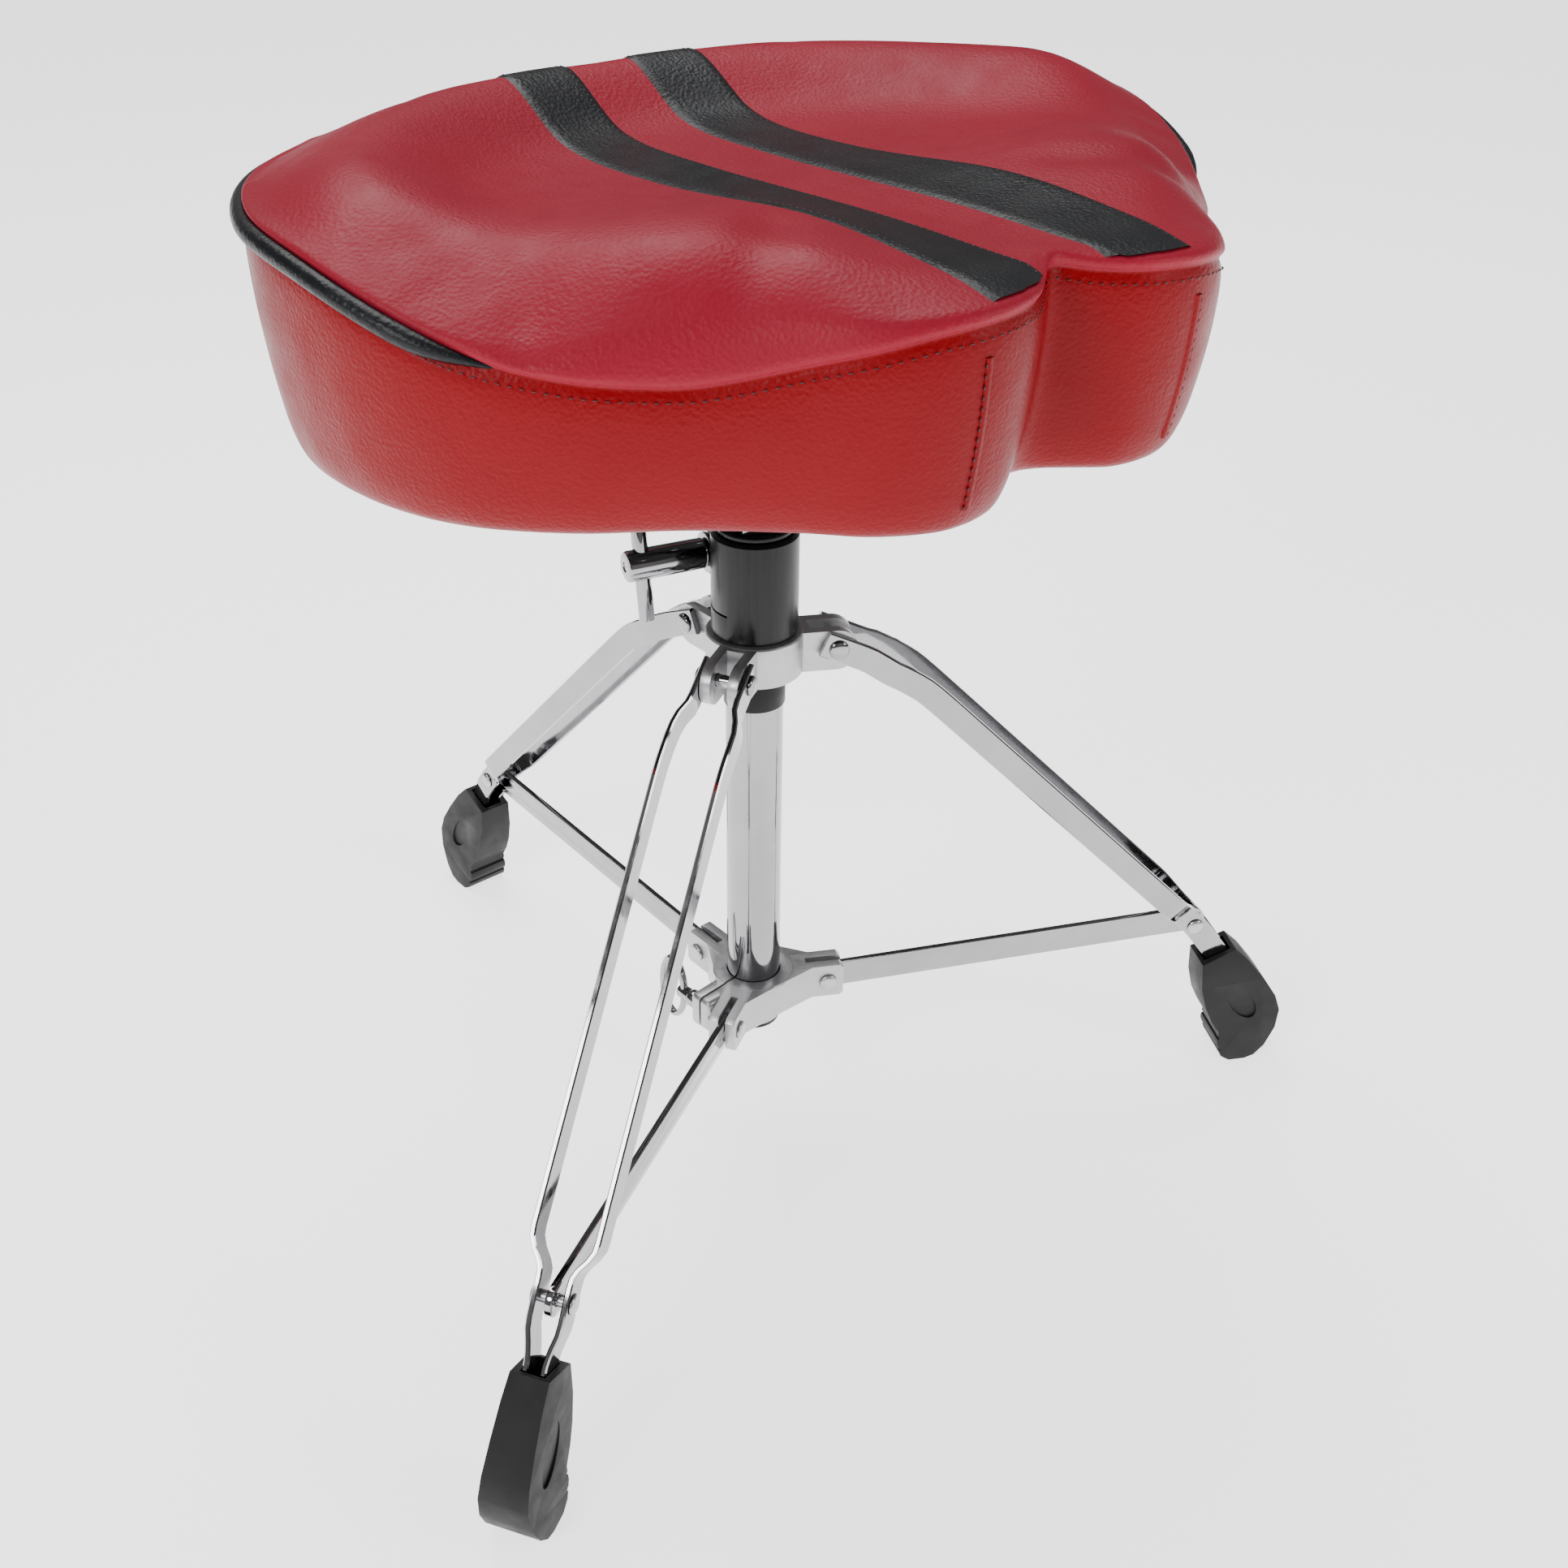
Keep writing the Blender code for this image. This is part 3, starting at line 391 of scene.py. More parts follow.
def ring(inner, outer, low, high, edge=0.0005):
    """A ring section with rounded outer corners."""
    corner = edge * 0.3
    return [
        (inner, high), (outer - edge, high), (outer - corner, high - corner), (outer, high - edge),
        (outer, low + edge), (outer - corner, low + corner), (outer - edge, low), (inner, low), (inner, high),
    ]


def flat(name, outline, thickness, holes=()):
    """A plate in the XZ plane from its outline and holes."""
    curve = bpy.data.curves.new(name, "CURVE")
    curve.dimensions = "2D"
    curve.fill_mode = "BOTH"
    curve.extrude = thickness / 2
    for points in (outline, *holes):
        spline = curve.splines.new("POLY")
        spline.points.add(len(points) - 1)
        for point, (x, z) in zip(spline.points, points):
            point.co = (x, z, 0, 1)
        spline.use_cyclic_u = True
    holder = bpy.data.objects.new(name, curve)
    mesh = bpy.data.meshes.new_from_object(holder)
    bpy.data.objects.remove(holder)
    mesh.transform(Matrix.Rotation(math.radians(90), 4, "X"))
    bm = bmesh.new()
    bm.from_mesh(mesh)
    bmesh.ops.remove_doubles(bm, verts=bm.verts, dist=0.000005)
    bmesh.ops.dissolve_limit(bm, angle_limit=0.01, verts=bm.verts, edges=bm.edges)
    bmesh.ops.recalc_face_normals(bm, faces=bm.faces)
    bm.to_mesh(mesh)
    bm.free()
    return mesh


def carve(name, base, steps, edge=0.0):
    """Runs Booleans on a base mesh, one after another, then rounds the sharp edges."""
    target = bpy.data.objects.new(name, base)
    bpy.context.scene.collection.objects.link(target)
    helpers = []
    for kind, mesh, matrix in steps:
        helper = bpy.data.objects.new(name + "_cut", mesh)
        bpy.context.scene.collection.objects.link(helper)
        helper.matrix_world = matrix or Matrix()
        helpers.append(helper)
        modifier = target.modifiers.new(kind, "BOOLEAN")
        modifier.operation = kind
        modifier.solver = "EXACT"
        modifier.object = helper
    if edge:
        modifier = target.modifiers.new("Edges", "BEVEL")
        modifier.width = edge
        modifier.segments = 3
        modifier.limit_method = "ANGLE"
        modifier.angle_limit = math.radians(40)
    mesh = applied(target)
    for used in [target, *helpers]:
        bpy.data.objects.remove(used)
    sharpen(mesh, 38.0)
    return mesh


def applied(target):
    bpy.context.view_layer.update()
    graph = bpy.context.evaluated_depsgraph_get()
    return bpy.data.meshes.new_from_object(target.evaluated_get(graph), depsgraph=graph)


def leg_frame(azimuth, radius=0.0, z=0.0):
    return Matrix.Translation(polar(azimuth, radius, z)) @ yaw(azimuth)


# Column --------------------------------------------------------------------------------------------
def build_column():
    at = Matrix.Translation(COLUMN)
    tube = ring(TUBE_R - 0.002, TUBE_R, low_z("center_tube"), high_z("center_tube"), 0.0006)
    show("column_tube", turned("column_tube", tube), CHROME, "column", ["center_tube"], at)
    low, high = low_z("seat_post"), high_z("seat_post")
    post = [
        (0, high), (POST_R - 0.0012, high), (POST_R, high - 0.0012), (POST_R, low + 0.0015),
        (POST_R - 0.0015, low), (0, low),
    ]
    show("height_post", turned("height_post", post), CHROME, "post", ["seat_post"], at)
    band = ring(TUBE_R + GAP, TUBE_R + 0.0010, low_z("tube_band"), high_z("tube_band"), 0.0003)
    show("column_band", turned("column_band", band), NYLON, "column", ["tube_band"], at)
    washer = ring(POST_R + GAP, 0.0195, low_z("lock_washer"), high_z("lock_washer"), 0.0006)
    show("top_washer", turned("top_washer", washer), BLACK_METAL, "column", ["lock_washer"], at)
    build_lock_nut(at)
    build_sleeve(at)


def build_lock_nut(at):
    low, high, across = low_z("lock_nut"), high_z("lock_nut"), 0.0172
    nut = rod_mesh((0, 0, low), (0, 0, high), across, 6)
    round_off = turned("nut_round", [
        (0, high + 0.001), (0.0142, high + 0.001), (0.0178, high - 0.0018), (0.0178, low - 0.001),
        (0, low - 0.001),
    ], 64)
    bore = rod_mesh((0, 0, low - 0.01), (0, 0, high + 0.01), POST_R + GAP)
    mesh = carve("lock_nut_hex", nut, [("INTERSECT", round_off, None), ("DIFFERENCE", bore, None)], 0.0004)
    show("lock_nut_hex", mesh, CHROME, "column", ["lock_nut"], at)


def build_sleeve(at):
    low, high = 0.3178, 0.3722
    turn = yaw(CLAMP_AZIMUTH)
    lug = carve("lug", box_mesh((0.0150, -0.0125, CLAMP_Z - 0.0150), (0.0345, 0.0125, CLAMP_Z + 0.0150)), [],
                0.0045)
    slit_z = CLAMP_Z - 0.0180
    cuts = [
        rod_mesh((0, 0, low - 0.01), (0, 0, high + 0.01), TUBE_R + GAP, 96),
        box_mesh((0.010, -0.0009, slit_z - 0.0009), (0.050, 0.0009, 0.400)),
        box_mesh((-0.010, 0.0002, slit_z - 0.0006), (0.050, 0.050, slit_z + 0.0006)),
        rod_mesh((CLAMP_OFFSET, -0.030, CLAMP_Z), (CLAMP_OFFSET, 0.030, CLAMP_Z), 0.0043),
    ]
    body = turned("sleeve", [(0, high), (SLEEVE_R - 0.0016, high), (SLEEVE_R, high - 0.0016),
                             (SLEEVE_R, low + 0.0012), (SLEEVE_R - 0.0012, low), (0, low)], 96)
    steps = [("UNION", lug, turn)] + [("DIFFERENCE", cut, turn) for cut in cuts]
    mesh = carve("clamp_sleeve_shell", body, steps, 0.0003)
    show("clamp_sleeve_shell", mesh, BLACK_METAL, "column", ["clamp_sleeve"], at)


def build_upper_collar():
    low, high = 0.2950, 0.3175
    centre, nose = (low + high) / 2, (high - low) / 2 - 0.0002
    base = turned("collar", [(0, high), (0.0243, high), (0.0251, high - 0.0008), (0.0251, low + 0.0008),
                             (0.0243, low), (0, low)], 96)
    steps = []
    for azimuth in LEG_AZIMUTHS:
        view = [(0.0100, centre - nose), *arc((PIVOT_R - 0.0002, centre), nose, -90, 90, 24),
                (0.0100, centre + nose)]
        steps.append(("UNION", flat("arm", view, 0.0196), yaw(azimuth)))
    for azimuth in LEG_AZIMUTHS:
        slot = box_mesh((0.0275, -0.0045, low - 0.01), (0.07, 0.0045, high + 0.01))
        hole = rod_mesh((PIVOT_R, -0.03, PIVOT_Z), (PIVOT_R, 0.03, PIVOT_Z), 0.0034)
        steps += [("DIFFERENCE", slot, yaw(azimuth)), ("DIFFERENCE", hole, yaw(azimuth))]
    bore = rod_mesh((0, 0, low - 0.01), (0, 0, high + 0.01), TUBE_R + GAP, 96)
    steps.append(("DIFFERENCE", bore, None))
    mesh = carve("upper_collar_casting", base, steps, 0.0007)
    show("upper_collar_casting", mesh, CAST, "column", ["upper_collar"], Matrix.Translation(COLUMN))


def build_lower_collar():
    low, high = 0.0802, 0.1018
    base = turned("collar", [(0, high), (0.0222, high), (0.0232, high - 0.0010), (0.0232, low + 0.0010),
                             (0.0222, low), (0, low)], 96)
    steps = []
    for azimuth in LEG_AZIMUTHS:
        plan = [(0.0100, low + 0.0002), (0.0490, low + 0.0002), (0.0510, low + 0.0022),
                (0.0510, high - 0.0022), (0.0490, high - 0.0002), (0.0100, high - 0.0002)]
        steps.append(("UNION", flat("arm", plan, 0.0150), yaw(azimuth)))
        steps.append(("UNION", web_mesh(low + 0.0003, high - 0.0003), yaw(azimuth)))
    lug = carve("lug", box_mesh((0.0120, -0.0080, low + 0.0004), (0.0420, 0.0075, high - 0.0004)), [], 0.0030)
    steps.append(("UNION", lug, yaw(WING_AZIMUTH)))
    for azimuth in LEG_AZIMUTHS:
        slot = box_mesh((0.0300, -0.0021, low - 0.01), (0.07, 0.0021, high + 0.01))
        hole = rod_mesh((COLLAR_PIN_R, -0.012, COLLAR_PIN_Z), (COLLAR_PIN_R, 0.012, COLLAR_PIN_Z), 0.0034)
        steps += [("DIFFERENCE", slot, yaw(azimuth)), ("DIFFERENCE", hole, yaw(azimuth))]
    bore = rod_mesh((0, 0, low - 0.01), (0, 0, high + 0.01), TUBE_R + GAP, 96)
    split = box_mesh((0.010, -0.0007, low - 0.01), (0.060, 0.0007, high + 0.01))
    screw_z = (low + high) / 2
    screw = rod_mesh((WING_OFFSET, -0.011, screw_z), (WING_OFFSET, 0.015, screw_z), 0.0033)
    steps += [("DIFFERENCE", bore, None), ("DIFFERENCE", split, yaw(WING_AZIMUTH)),
              ("DIFFERENCE", screw, yaw(WING_AZIMUTH))]
    mesh = carve("sliding_collar_casting", base, steps, 0.0007)
    show("sliding_collar_casting", mesh, CAST, "collar", ["lower_collar"], Matrix.Translation(COLUMN))


def web_mesh(low, high):
    """The gusset that fairs an arm into the collar's ring."""
    web = flat("web", [(0.0140, -0.0180), (0.0335, -0.0072), (0.0335, 0.0072), (0.0140, 0.0180)], high - low)
    web.transform(Matrix.Rotation(math.radians(-90), 4, "X"))
    web.transform(Matrix.Translation((0, 0, (low + high) / 2)))
    return web


# Pins and screws -----------------------------------------------------------------------------------
def domed(radius, rise, steps=6):
    """Half of a low dome, from its crown to its rim."""
    return [(radius * math.sin(math.pi / 2 * i / steps), rise * math.cos(math.pi / 2 * i / steps))
            for i in range(steps + 1)]


def rivet_mesh(name, half_length, head=0.0050, rise=0.0022):
    top = [(r, half_length + 0.0004 + z) for r, z in domed(head, rise - 0.0004)]
    profile = top + [(head, half_length), (0.003, half_length), (0.003, -half_length), (head, -half_length)]
    profile += [(r, -z) for r, z in reversed(top)]
    return turned(name, profile, 48)


def build_pins(number, azimuth):
    lie = Matrix.Rotation(math.radians(-90), 4, "X")
    spots = (
        (f"pivot_rivet_{number}", 0.0135, 0.0052, CHROME, "column", f"leg_{number}_pivot_pin", "chrome",
         leg_frame(azimuth, PIVOT_R, PIVOT_Z)),
        (f"collar_rivet_{number}", 0.0078, 0.0050, STEEL, "collar", f"collar_pin_{number}", "steel",
         leg_frame(azimuth, COLLAR_PIN_R, COLLAR_PIN_Z)),
    )
    for name, half, head, look, body, node, finish, at in spots:
        show(name, rivet_mesh(name, half, head), look, body, [node], at @ lie)
    for word, side in (("left", 1), ("right", -1)):
        name = f"strut_rivet_{number}_{word}"
        profile = [(r, 0.0098 + z) for r, z in domed(0.0050, 0.0018)]
        profile += [(0.0050, 0.0097), (0.003, 0.0097), (0.003, 0.0021), (0, 0.0021)]
        at = leg_frame(azimuth, STRUT_PIN_R, STRUT_PIN_Z) @ Matrix.Rotation(math.radians(-90 * side), 4, "X")
        node = f"leg_{number}_strut_rivet_{word}"
        show(name, turned(name, profile, 48), STEEL, f"leg_{number}", [node], at)


def build_clamp():
    at = Matrix.Translation(polar(CLAMP_AZIMUTH, CLAMP_OFFSET, CLAMP_Z)) @ yaw(CLAMP_AZIMUTH)
    lie = at @ Matrix.Rotation(math.radians(-90), 4, "X")
    face = 0.0125
    profile = [
        (0, 0.0580), (0.0060, 0.0580), (0.0074, 0.0575), (0.0080, 0.0562), (0.0080, face + 0.0044),
        (0.0076, face + 0.0034), (0.0066, face + 0.0028), (0.0040, face + 0.0028), (0.0040, -0.0200),
        (0.0032, -0.0210), (0, -0.0210),
    ]
    cross = rod_mesh((0, 0, -0.02), (0, 0, 0.02), 0.0042)
    lean = Matrix.Translation((0, 0, 0.0490)) @ Matrix.Rotation(math.radians(90), 4, "X") @ Matrix.Rotation(
        math.radians(HANDLE_LEAN), 4, "Y")
    dimple = turned("dimple", [(0, 0.0600), (0.0030, 0.0600), (0.0026, 0.0574), (0, 0.0570)], 32)
    screw = carve("tee_screw", turned("tee_screw", profile, 64),
                  [("DIFFERENCE", cross, lean), ("DIFFERENCE", dimple, None)], 0.0003)
    show("tee_screw", screw, CHROME, "clamp", ["clamp_screw"], lie)
    bar = [(r, 0.0388 + z) for r, z in domed(0.0040, 0.0012)] + [(0.0040, -0.0288)]
    bar += [(r, -0.0288 - z) for r, z in reversed(domed(0.0040, 0.0012))]
    spin = at @ Matrix.Translation((0, 0.0490, 0)) @ Matrix.Rotation(math.radians(HANDLE_LEAN), 4, "Y")
    show("tee_handle", turned("tee_handle", bar, 64), CHROME, "clamp", ["clamp_handle"], spin)
    washer = turned("tee_washer", ring(0.0043, 0.0105, face + GAP, face + 0.0025, 0.0007), 64)
    show("tee_washer", washer, CHROME, "clamp", ["clamp_washer"], lie)


def build_wing_screw():
    at = Matrix.Translation(polar(WING_AZIMUTH, WING_OFFSET, 0.0910)) @ yaw(WING_AZIMUTH)
    at = at @ Matrix.Rotation(math.radians(90), 4, "X")
    profile = [
        (0, 0.0240), (0.0030, 0.0238), (0.0038, 0.0225), (0.0040, 0.0150), (0.0046, 0.0145),
        (0.0050, 0.0136), (0.0050, 0.0092), (0.0045, 0.0084), (0.0030, 0.0084), (0.0030, -0.0046),
        (0.0024, -0.0052), (0, -0.0052),
    ]

    def loop(bm):
        around, section = 64, 16
        rows = []
        for i in range(around):
            a = math.tau * i / around
            centre = Vector((0, 0.0195 * math.sin(a), 0.0290 + 0.0088 * math.cos(a)))
            out = Vector((0, math.sin(a) * 0.0088, math.cos(a) * 0.0195)).normalized()
            rows.append([
                bm.verts.new(centre + out * 0.0018 * math.cos(math.tau * k / section)
                             + Vector((1, 0, 0)) * 0.0023 * math.sin(math.tau * k / section))
                for k in range(section)
            ])
        for first, second in zip(rows, rows[1:] + rows[:1]):
            for k in range(section):
                n = (k + 1) % section
                bm.faces.new((first[k], first[n], second[n], second[k]))
    mesh = carve("wing_thumb_screw", turned("wing_thumb_screw", profile, 48),
                 [("UNION", mesh_of("loop", loop, True), None)], 0.0)
    show("wing_thumb_screw", mesh, CHROME, "wing", ["wing_screw"], at)


# Legs ----------------------------------------------------------------------------------------------
BAR_WIDTH, BAR_THICK = 0.0140, 0.0030
BAR_PATH = [
    (0.0340, 0.3114, 0.0117), (0.0412, 0.3081, 0.0117), (0.0540, 0.3020, 0.0117), (0.0585, 0.2997, 0.0122),
    (0.0640, 0.2967, 0.0147), (0.0690, 0.2935, 0.0158), (0.0750, 0.2901, 0.0160), (0.0810, 0.2862, 0.0160),
    (0.0860, 0.2826, 0.0160), (0.0905, 0.2786, 0.0160), (0.0960, 0.2732, 0.0160), (0.1010, 0.2682, 0.0160),
    (0.1700, 0.1981, 0.0160), (0.2420, 0.1249, 0.0160), (0.2450, 0.1217, 0.0156), (0.2480, 0.1184, 0.0135),
    (0.2515, 0.1146, 0.0098), (0.2540, 0.1118, 0.0081), (0.2565, 0.1090, 0.0078), (0.2620, 0.1030, 0.0078),
    (0.2675, 0.0958, 0.0078), (0.2705, 0.0918, 0.0074), (0.2737, 0.0873, 0.0060), (0.2765, 0.0834, 0.0050),
    (0.2790, 0.0800, 0.0045), (0.2905, 0.0642, 0.0045),
]


def strip(bm, side):
    """The leg bar: a rounded flat section carried along its path."""
    half, thick, bend = BAR_WIDTH / 2, BAR_THICK / 2, 0.0007
    section = [
        (half - bend, thick), (half, thick - bend), (half, bend - thick), (half - bend, -thick),
        (bend - half, -thick), (-half, bend - thick), (-half, thick - bend), (bend - half, thick),
    ]
    rows = []
    for i, (r, z, across) in enumerate(BAR_PATH):
        before, after = BAR_PATH[max(i - 1, 0)], BAR_PATH[min(i + 1, len(BAR_PATH) - 1)]
        along = Vector((after[0] - before[0], after[1] - before[1])).normalized()
        normal = Vector((-along.y, along.x))
        rows.append([
            bm.verts.new((r + normal.x * u, side * (across + w), z + normal.y * u)) for u, w in section
        ])
    for first, second in zip(rows, rows[1:]):
        for k in range(8):
            n = (k + 1) % 8
            bm.faces.new((first[k], first[n], second[n], second[k]))
    bm.faces.new(rows[0])
    bm.faces.new(rows[-1][::-1])


FOOT_OUTLINE = [
    (0.2705, 0.0735), (0.2905, 0.0826), (0.3000, 0.0735), (0.3110, 0.0595), (0.3205, 0.0455),
    (0.3245, 0.0345), (0.3235, 0.0215), (0.3180, 0.0085), (0.3120, 0.0020), (0.3060, 0.0000),
    (0.2960, 0.0000), (0.2905, 0.0035), (0.2868, 0.0130), (0.2869, 0.0223), (0.2815, 0.0300),
    (0.2762, 0.0410), (0.2720, 0.0560),
]
FOOT_HALF, FOOT_TAPER = 0.0145, 0.056


def foot_mesh():
    """The moulded foot: bar socket above, recessed oval on the flanks, ribs round the heel."""
    base = flat("foot", FOOT_OUTLINE, 2 * FOOT_HALF)
    for vert in base.vertices:
        vert.co.y *= 1 - FOOT_TAPER * vert.co.z / FOOT_HALF
    end, before = Vector(BAR_PATH[-1][:2]), Vector(BAR_PATH[-2][:2])
    along = (before - end).normalized()
    socket = box_mesh((-0.0084, -0.0064, -0.0028), (0.0084, 0.0064, 0.0500))
    tilt = Matrix.Rotation(math.atan2(along.x, along.y), 4, "Y")
    steps = [("DIFFERENCE", socket, Matrix.Translation((end.x, 0, end.y)) @ tilt)]
    for side in (-1, 1):
        recess = rod_mesh((0, side * 0.0112, 0), (0, side * 0.0200, 0), 0.0070, 64)
        stretch = Matrix.Rotation(math.radians(-36), 4, "Y") @ Matrix.Diagonal((1, 1, 2.2, 1))
        steps.append(("DIFFERENCE", recess, Matrix.Translation((0.2985, 0, 0.0440)) @ stretch))
    for r, z in ((0.2825, 0.0266), (0.2869, 0.0176), (0.2885, 0.0085)):
        groove = rod_mesh((r, -0.02, z), (r, 0.02, z), 0.0012, 20)
        steps.append(("DIFFERENCE", groove, None))
    return carve("foot", base, steps, 0.0018)


def link_outline(start, end, radius):
    direction = math.degrees(math.atan2(end[1] - start[1], end[0] - start[0]))
    return (arc(end, radius, direction - 90, direction + 90, 24)
            + arc(start, radius, direction + 90, direction + 270, 24))


def build_leg(number, azimuth, foot, strut, bars):
    at = leg_frame(azimuth)
    for word, side in (("left", 1), ("right", -1)):
        name = f"brace_bar_{number}_{word}"
        show(name, bars[side], CHROME, f"leg_{number}", [f"leg_{number}_bar_{word}"], at)
    show(f"rubber_foot_{number}", foot, RUBBER, f"leg_{number}", [f"leg_{number}_foot"], at)
    show(f"stay_{number}", strut, CHROME, f"strut_{number}", [f"leg_{number}_strut"],
         leg_frame(azimuth, COLLAR_PIN_R, COLLAR_PIN_Z))
    build_pins(number, azimuth)


def build_legs():
    foot = foot_mesh()
    outer = (STRUT_PIN_R - COLLAR_PIN_R, STRUT_PIN_Z - COLLAR_PIN_Z)
    holes = [arc(centre, 0.0033, 0, 345, 23) for centre in ((0, 0), outer)]
    strut = carve("stay", flat("stay", link_outline((0, 0), outer, 0.0080), 0.0034, holes), [], 0.0006)
    bars = {}
    for side in (1, -1):
        bars[side] = mesh_of("bar", lambda bm: strip(bm, side))
        sharpen(bars[side], 25.0)
    for number, azimuth in enumerate(LEG_AZIMUTHS, 1):
        build_leg(number, azimuth, foot, strut, bars)


# Seat shape ----------------------------------------------------------------------------------------
SEAT_HALF = [
    (0.0, -0.142), (0.066, -0.142), (0.132, -0.129), (0.191, -0.091), (0.225, -0.034), (0.229, 0.022),
    (0.214, 0.070), (0.182, 0.108), (0.146, 0.134), (0.117, 0.160), (0.094, 0.184), (0.064, 0.199),
    (0.034, 0.197), (0.012, 0.182),
]
NOTCH = (0.0, 0.174)
SEAT_BOTTOM, WALL_LOW = 0.4515, 0.4620
AROUND = 208


def seat_outline(steps):
    """Points round the seat (side, forward), from the rear, by a closed Catmull-Rom curve."""
    control = SEAT_HALF + [NOTCH] + [(-x, f) for x, f in reversed(SEAT_HALF[1:])]
    count = len(control)
    dense = []
    for i in range(count):
        a, b, c, d = (Vector(control[(i + k) % count]) for k in (-1, 0, 1, 2))
        for j in range(12):
            t = j / 12
            dense.append(0.5 * (2 * b + (c - a) * t + (2 * a - 5 * b + 4 * c - d) * t * t
                                + (3 * b - a - 3 * c + d) * t ** 3))
    lengths = [0.0]
    for here, after in zip(dense, dense[1:] + dense[:1]):
        lengths.append(lengths[-1] + (after - here).length)
    points = []
    i = 0
    for k in range(steps):
        wanted = lengths[-1] * k / steps
        while lengths[i + 1] <= wanted:
            i += 1
        share = (wanted - lengths[i]) / (lengths[i + 1] - lengths[i])
        points.append(dense[i].lerp(dense[(i + 1) % len(dense)], share))
    return points


def outline_normals(outline):
    normals = []
    for i, after in enumerate(outline[1:] + outline[:1]):
        along = (after - outline[i - 1]).normalized()
        normals.append(Vector((along.y, -along.x)))
    outward = 1 if normals[0].y < 0 else -1
    return [normal * outward for normal in normals]


def smooth(value, low, high):
    share = min(max((value - low) / (high - low), 0.0), 1.0)
    return share * share * (3 - 2 * share)


def seam_height(x, f):
    broad = 0.030 * math.exp(-(((f - 0.110) / 0.070) ** 2))
    waist = 0.012 * math.exp(-(((f - 0.150) / 0.035) ** 2))
    return 0.5500 - (broad + waist) * smooth(abs(x), 0.02, 0.15) - 0.012 * smooth(f, 0.14, 0.19)


def top_height(x, f):
    """Rear roll, dish, and a crown under each thigh."""
    reach = math.hypot(x / 0.225, (f - 0.02) / 0.165)
    roll = 0.026 * math.exp(-(((reach - 0.86) / 0.20) ** 2)) * (1 - smooth(f, -0.02, 0.11))
    crown = 0.016 * math.exp(-(((abs(x) - 0.105) / 0.060) ** 2) - ((f - 0.105) / 0.070) ** 2)
    fall = 0.012 * smooth(abs(x), 0.12, 0.23) * smooth(f, -0.02, 0.10)
    return 0.5420 + roll + crown - fall + creases(x, f, reach)


def creases(x, f, reach):
    """Soft folds: inside the roll, beside each lobe, and one pull on the sitter's right thigh."""
    inner = -0.0012 * math.exp(-(((reach - 0.62) / 0.045) ** 2)) * (1 - smooth(f, -0.06, 0.02))
    side = -0.0035 * ridge(abs(x), f, (0.082, 0.108), (0.130, 0.148), 0.012)
    pull = -0.0022 * ridge(x, f, (-0.165, 0.070), (-0.190, 0.098), 0.007)
    return inner + side + pull


def ridge(x, f, start, end, width):
    """A rounded ridge of height 1 along a line that fades past both ends."""
    a, b, p = Vector(start), Vector(end), Vector((x, f))
    along = min(max((p - a).dot(b - a) / (b - a).length_squared, 0.0), 1.0)
    return math.exp(-(((p - a.lerp(b, along)).length / width) ** 2))


TOP_SHARES = [0.06 * i for i in range(1, 14)] + [0.82, 0.86, 0.90, 0.93, 0.955, 0.975, 0.99]
# Offset and rise across the seam: under the piping, and where the two panels meet without it.
PIPED = [(0.0000, 0.0060), (-0.0012, 0.0030), (-0.0046, 0.0), (-0.0010, -0.0032), (0.0004, -0.0060),
         (0.0006, -0.0110)]
PLAIN = [(0.0006, 0.0052), (0.0008, 0.0022), (-0.0020, 0.0), (-0.0006, -0.0014), (0.0002, -0.0050),
         (0.0006, -0.0110)]


def wall_place(point, normal, high, share, proud=0.0):
    """A point of the side wall, where share runs from 1 under the seam to 0 at the bottom bend."""
    off = 0.0006 - 0.0080 * (1 - share) ** 1.8 + proud
    height = WALL_LOW + (high - WALL_LOW) * share
    return Vector((point.x + normal.x * off, -(point.y + normal.y * off), height))


def seat_rows(outline, normals):
    """Rows of points from the middle of the top, over the rim, down the wall and under the board."""
    rows = []
    for share in TOP_SHARES:
        row = []
        for point in outline:
            x, f = point.x * share, 0.02 + (point.y - 0.02) * share
            edge = max(share - 0.80, 0.0) / 0.20
            blend = math.sqrt(max(1 - edge ** 2.4, 0.0))
            rim = seam_height(*point) + 0.0066
            row.append(Vector((x, -f, rim + (top_height(x, f) - rim) * blend)))
        rows.append(row)
    for (piped, piped_rise), (plain, plain_rise) in zip(PIPED, PLAIN):
        row = []
        for p, n in zip(outline, normals):
            share = smooth(p.y, 0.075, 0.105)
            off, rise = piped + (plain - piped) * share, piped_rise + (plain_rise - piped_rise) * share
            row.append(Vector((p.x + n.x * off, -(p.y + n.y * off), seam_height(*p) + rise)))
        rows.append(row)
    for i in range(1, 13):
        rows.append([wall_place(p, n, seam_height(*p) - 0.0110, 1 - i / 13)
                     for p, n in zip(outline, normals)])
    for off, z in ((-0.0088, 0.4595), (-0.0110, 0.4555), (-0.0145, 0.4527), (-0.0190, SEAT_BOTTOM),
                   (-0.0400, SEAT_BOTTOM)):
        rows.append([Vector((p.x + n.x * off, -(p.y + n.y * off), z)) for p, n in zip(outline, normals)])
    return rows


SEAM_ROW = len(TOP_SHARES) + 2


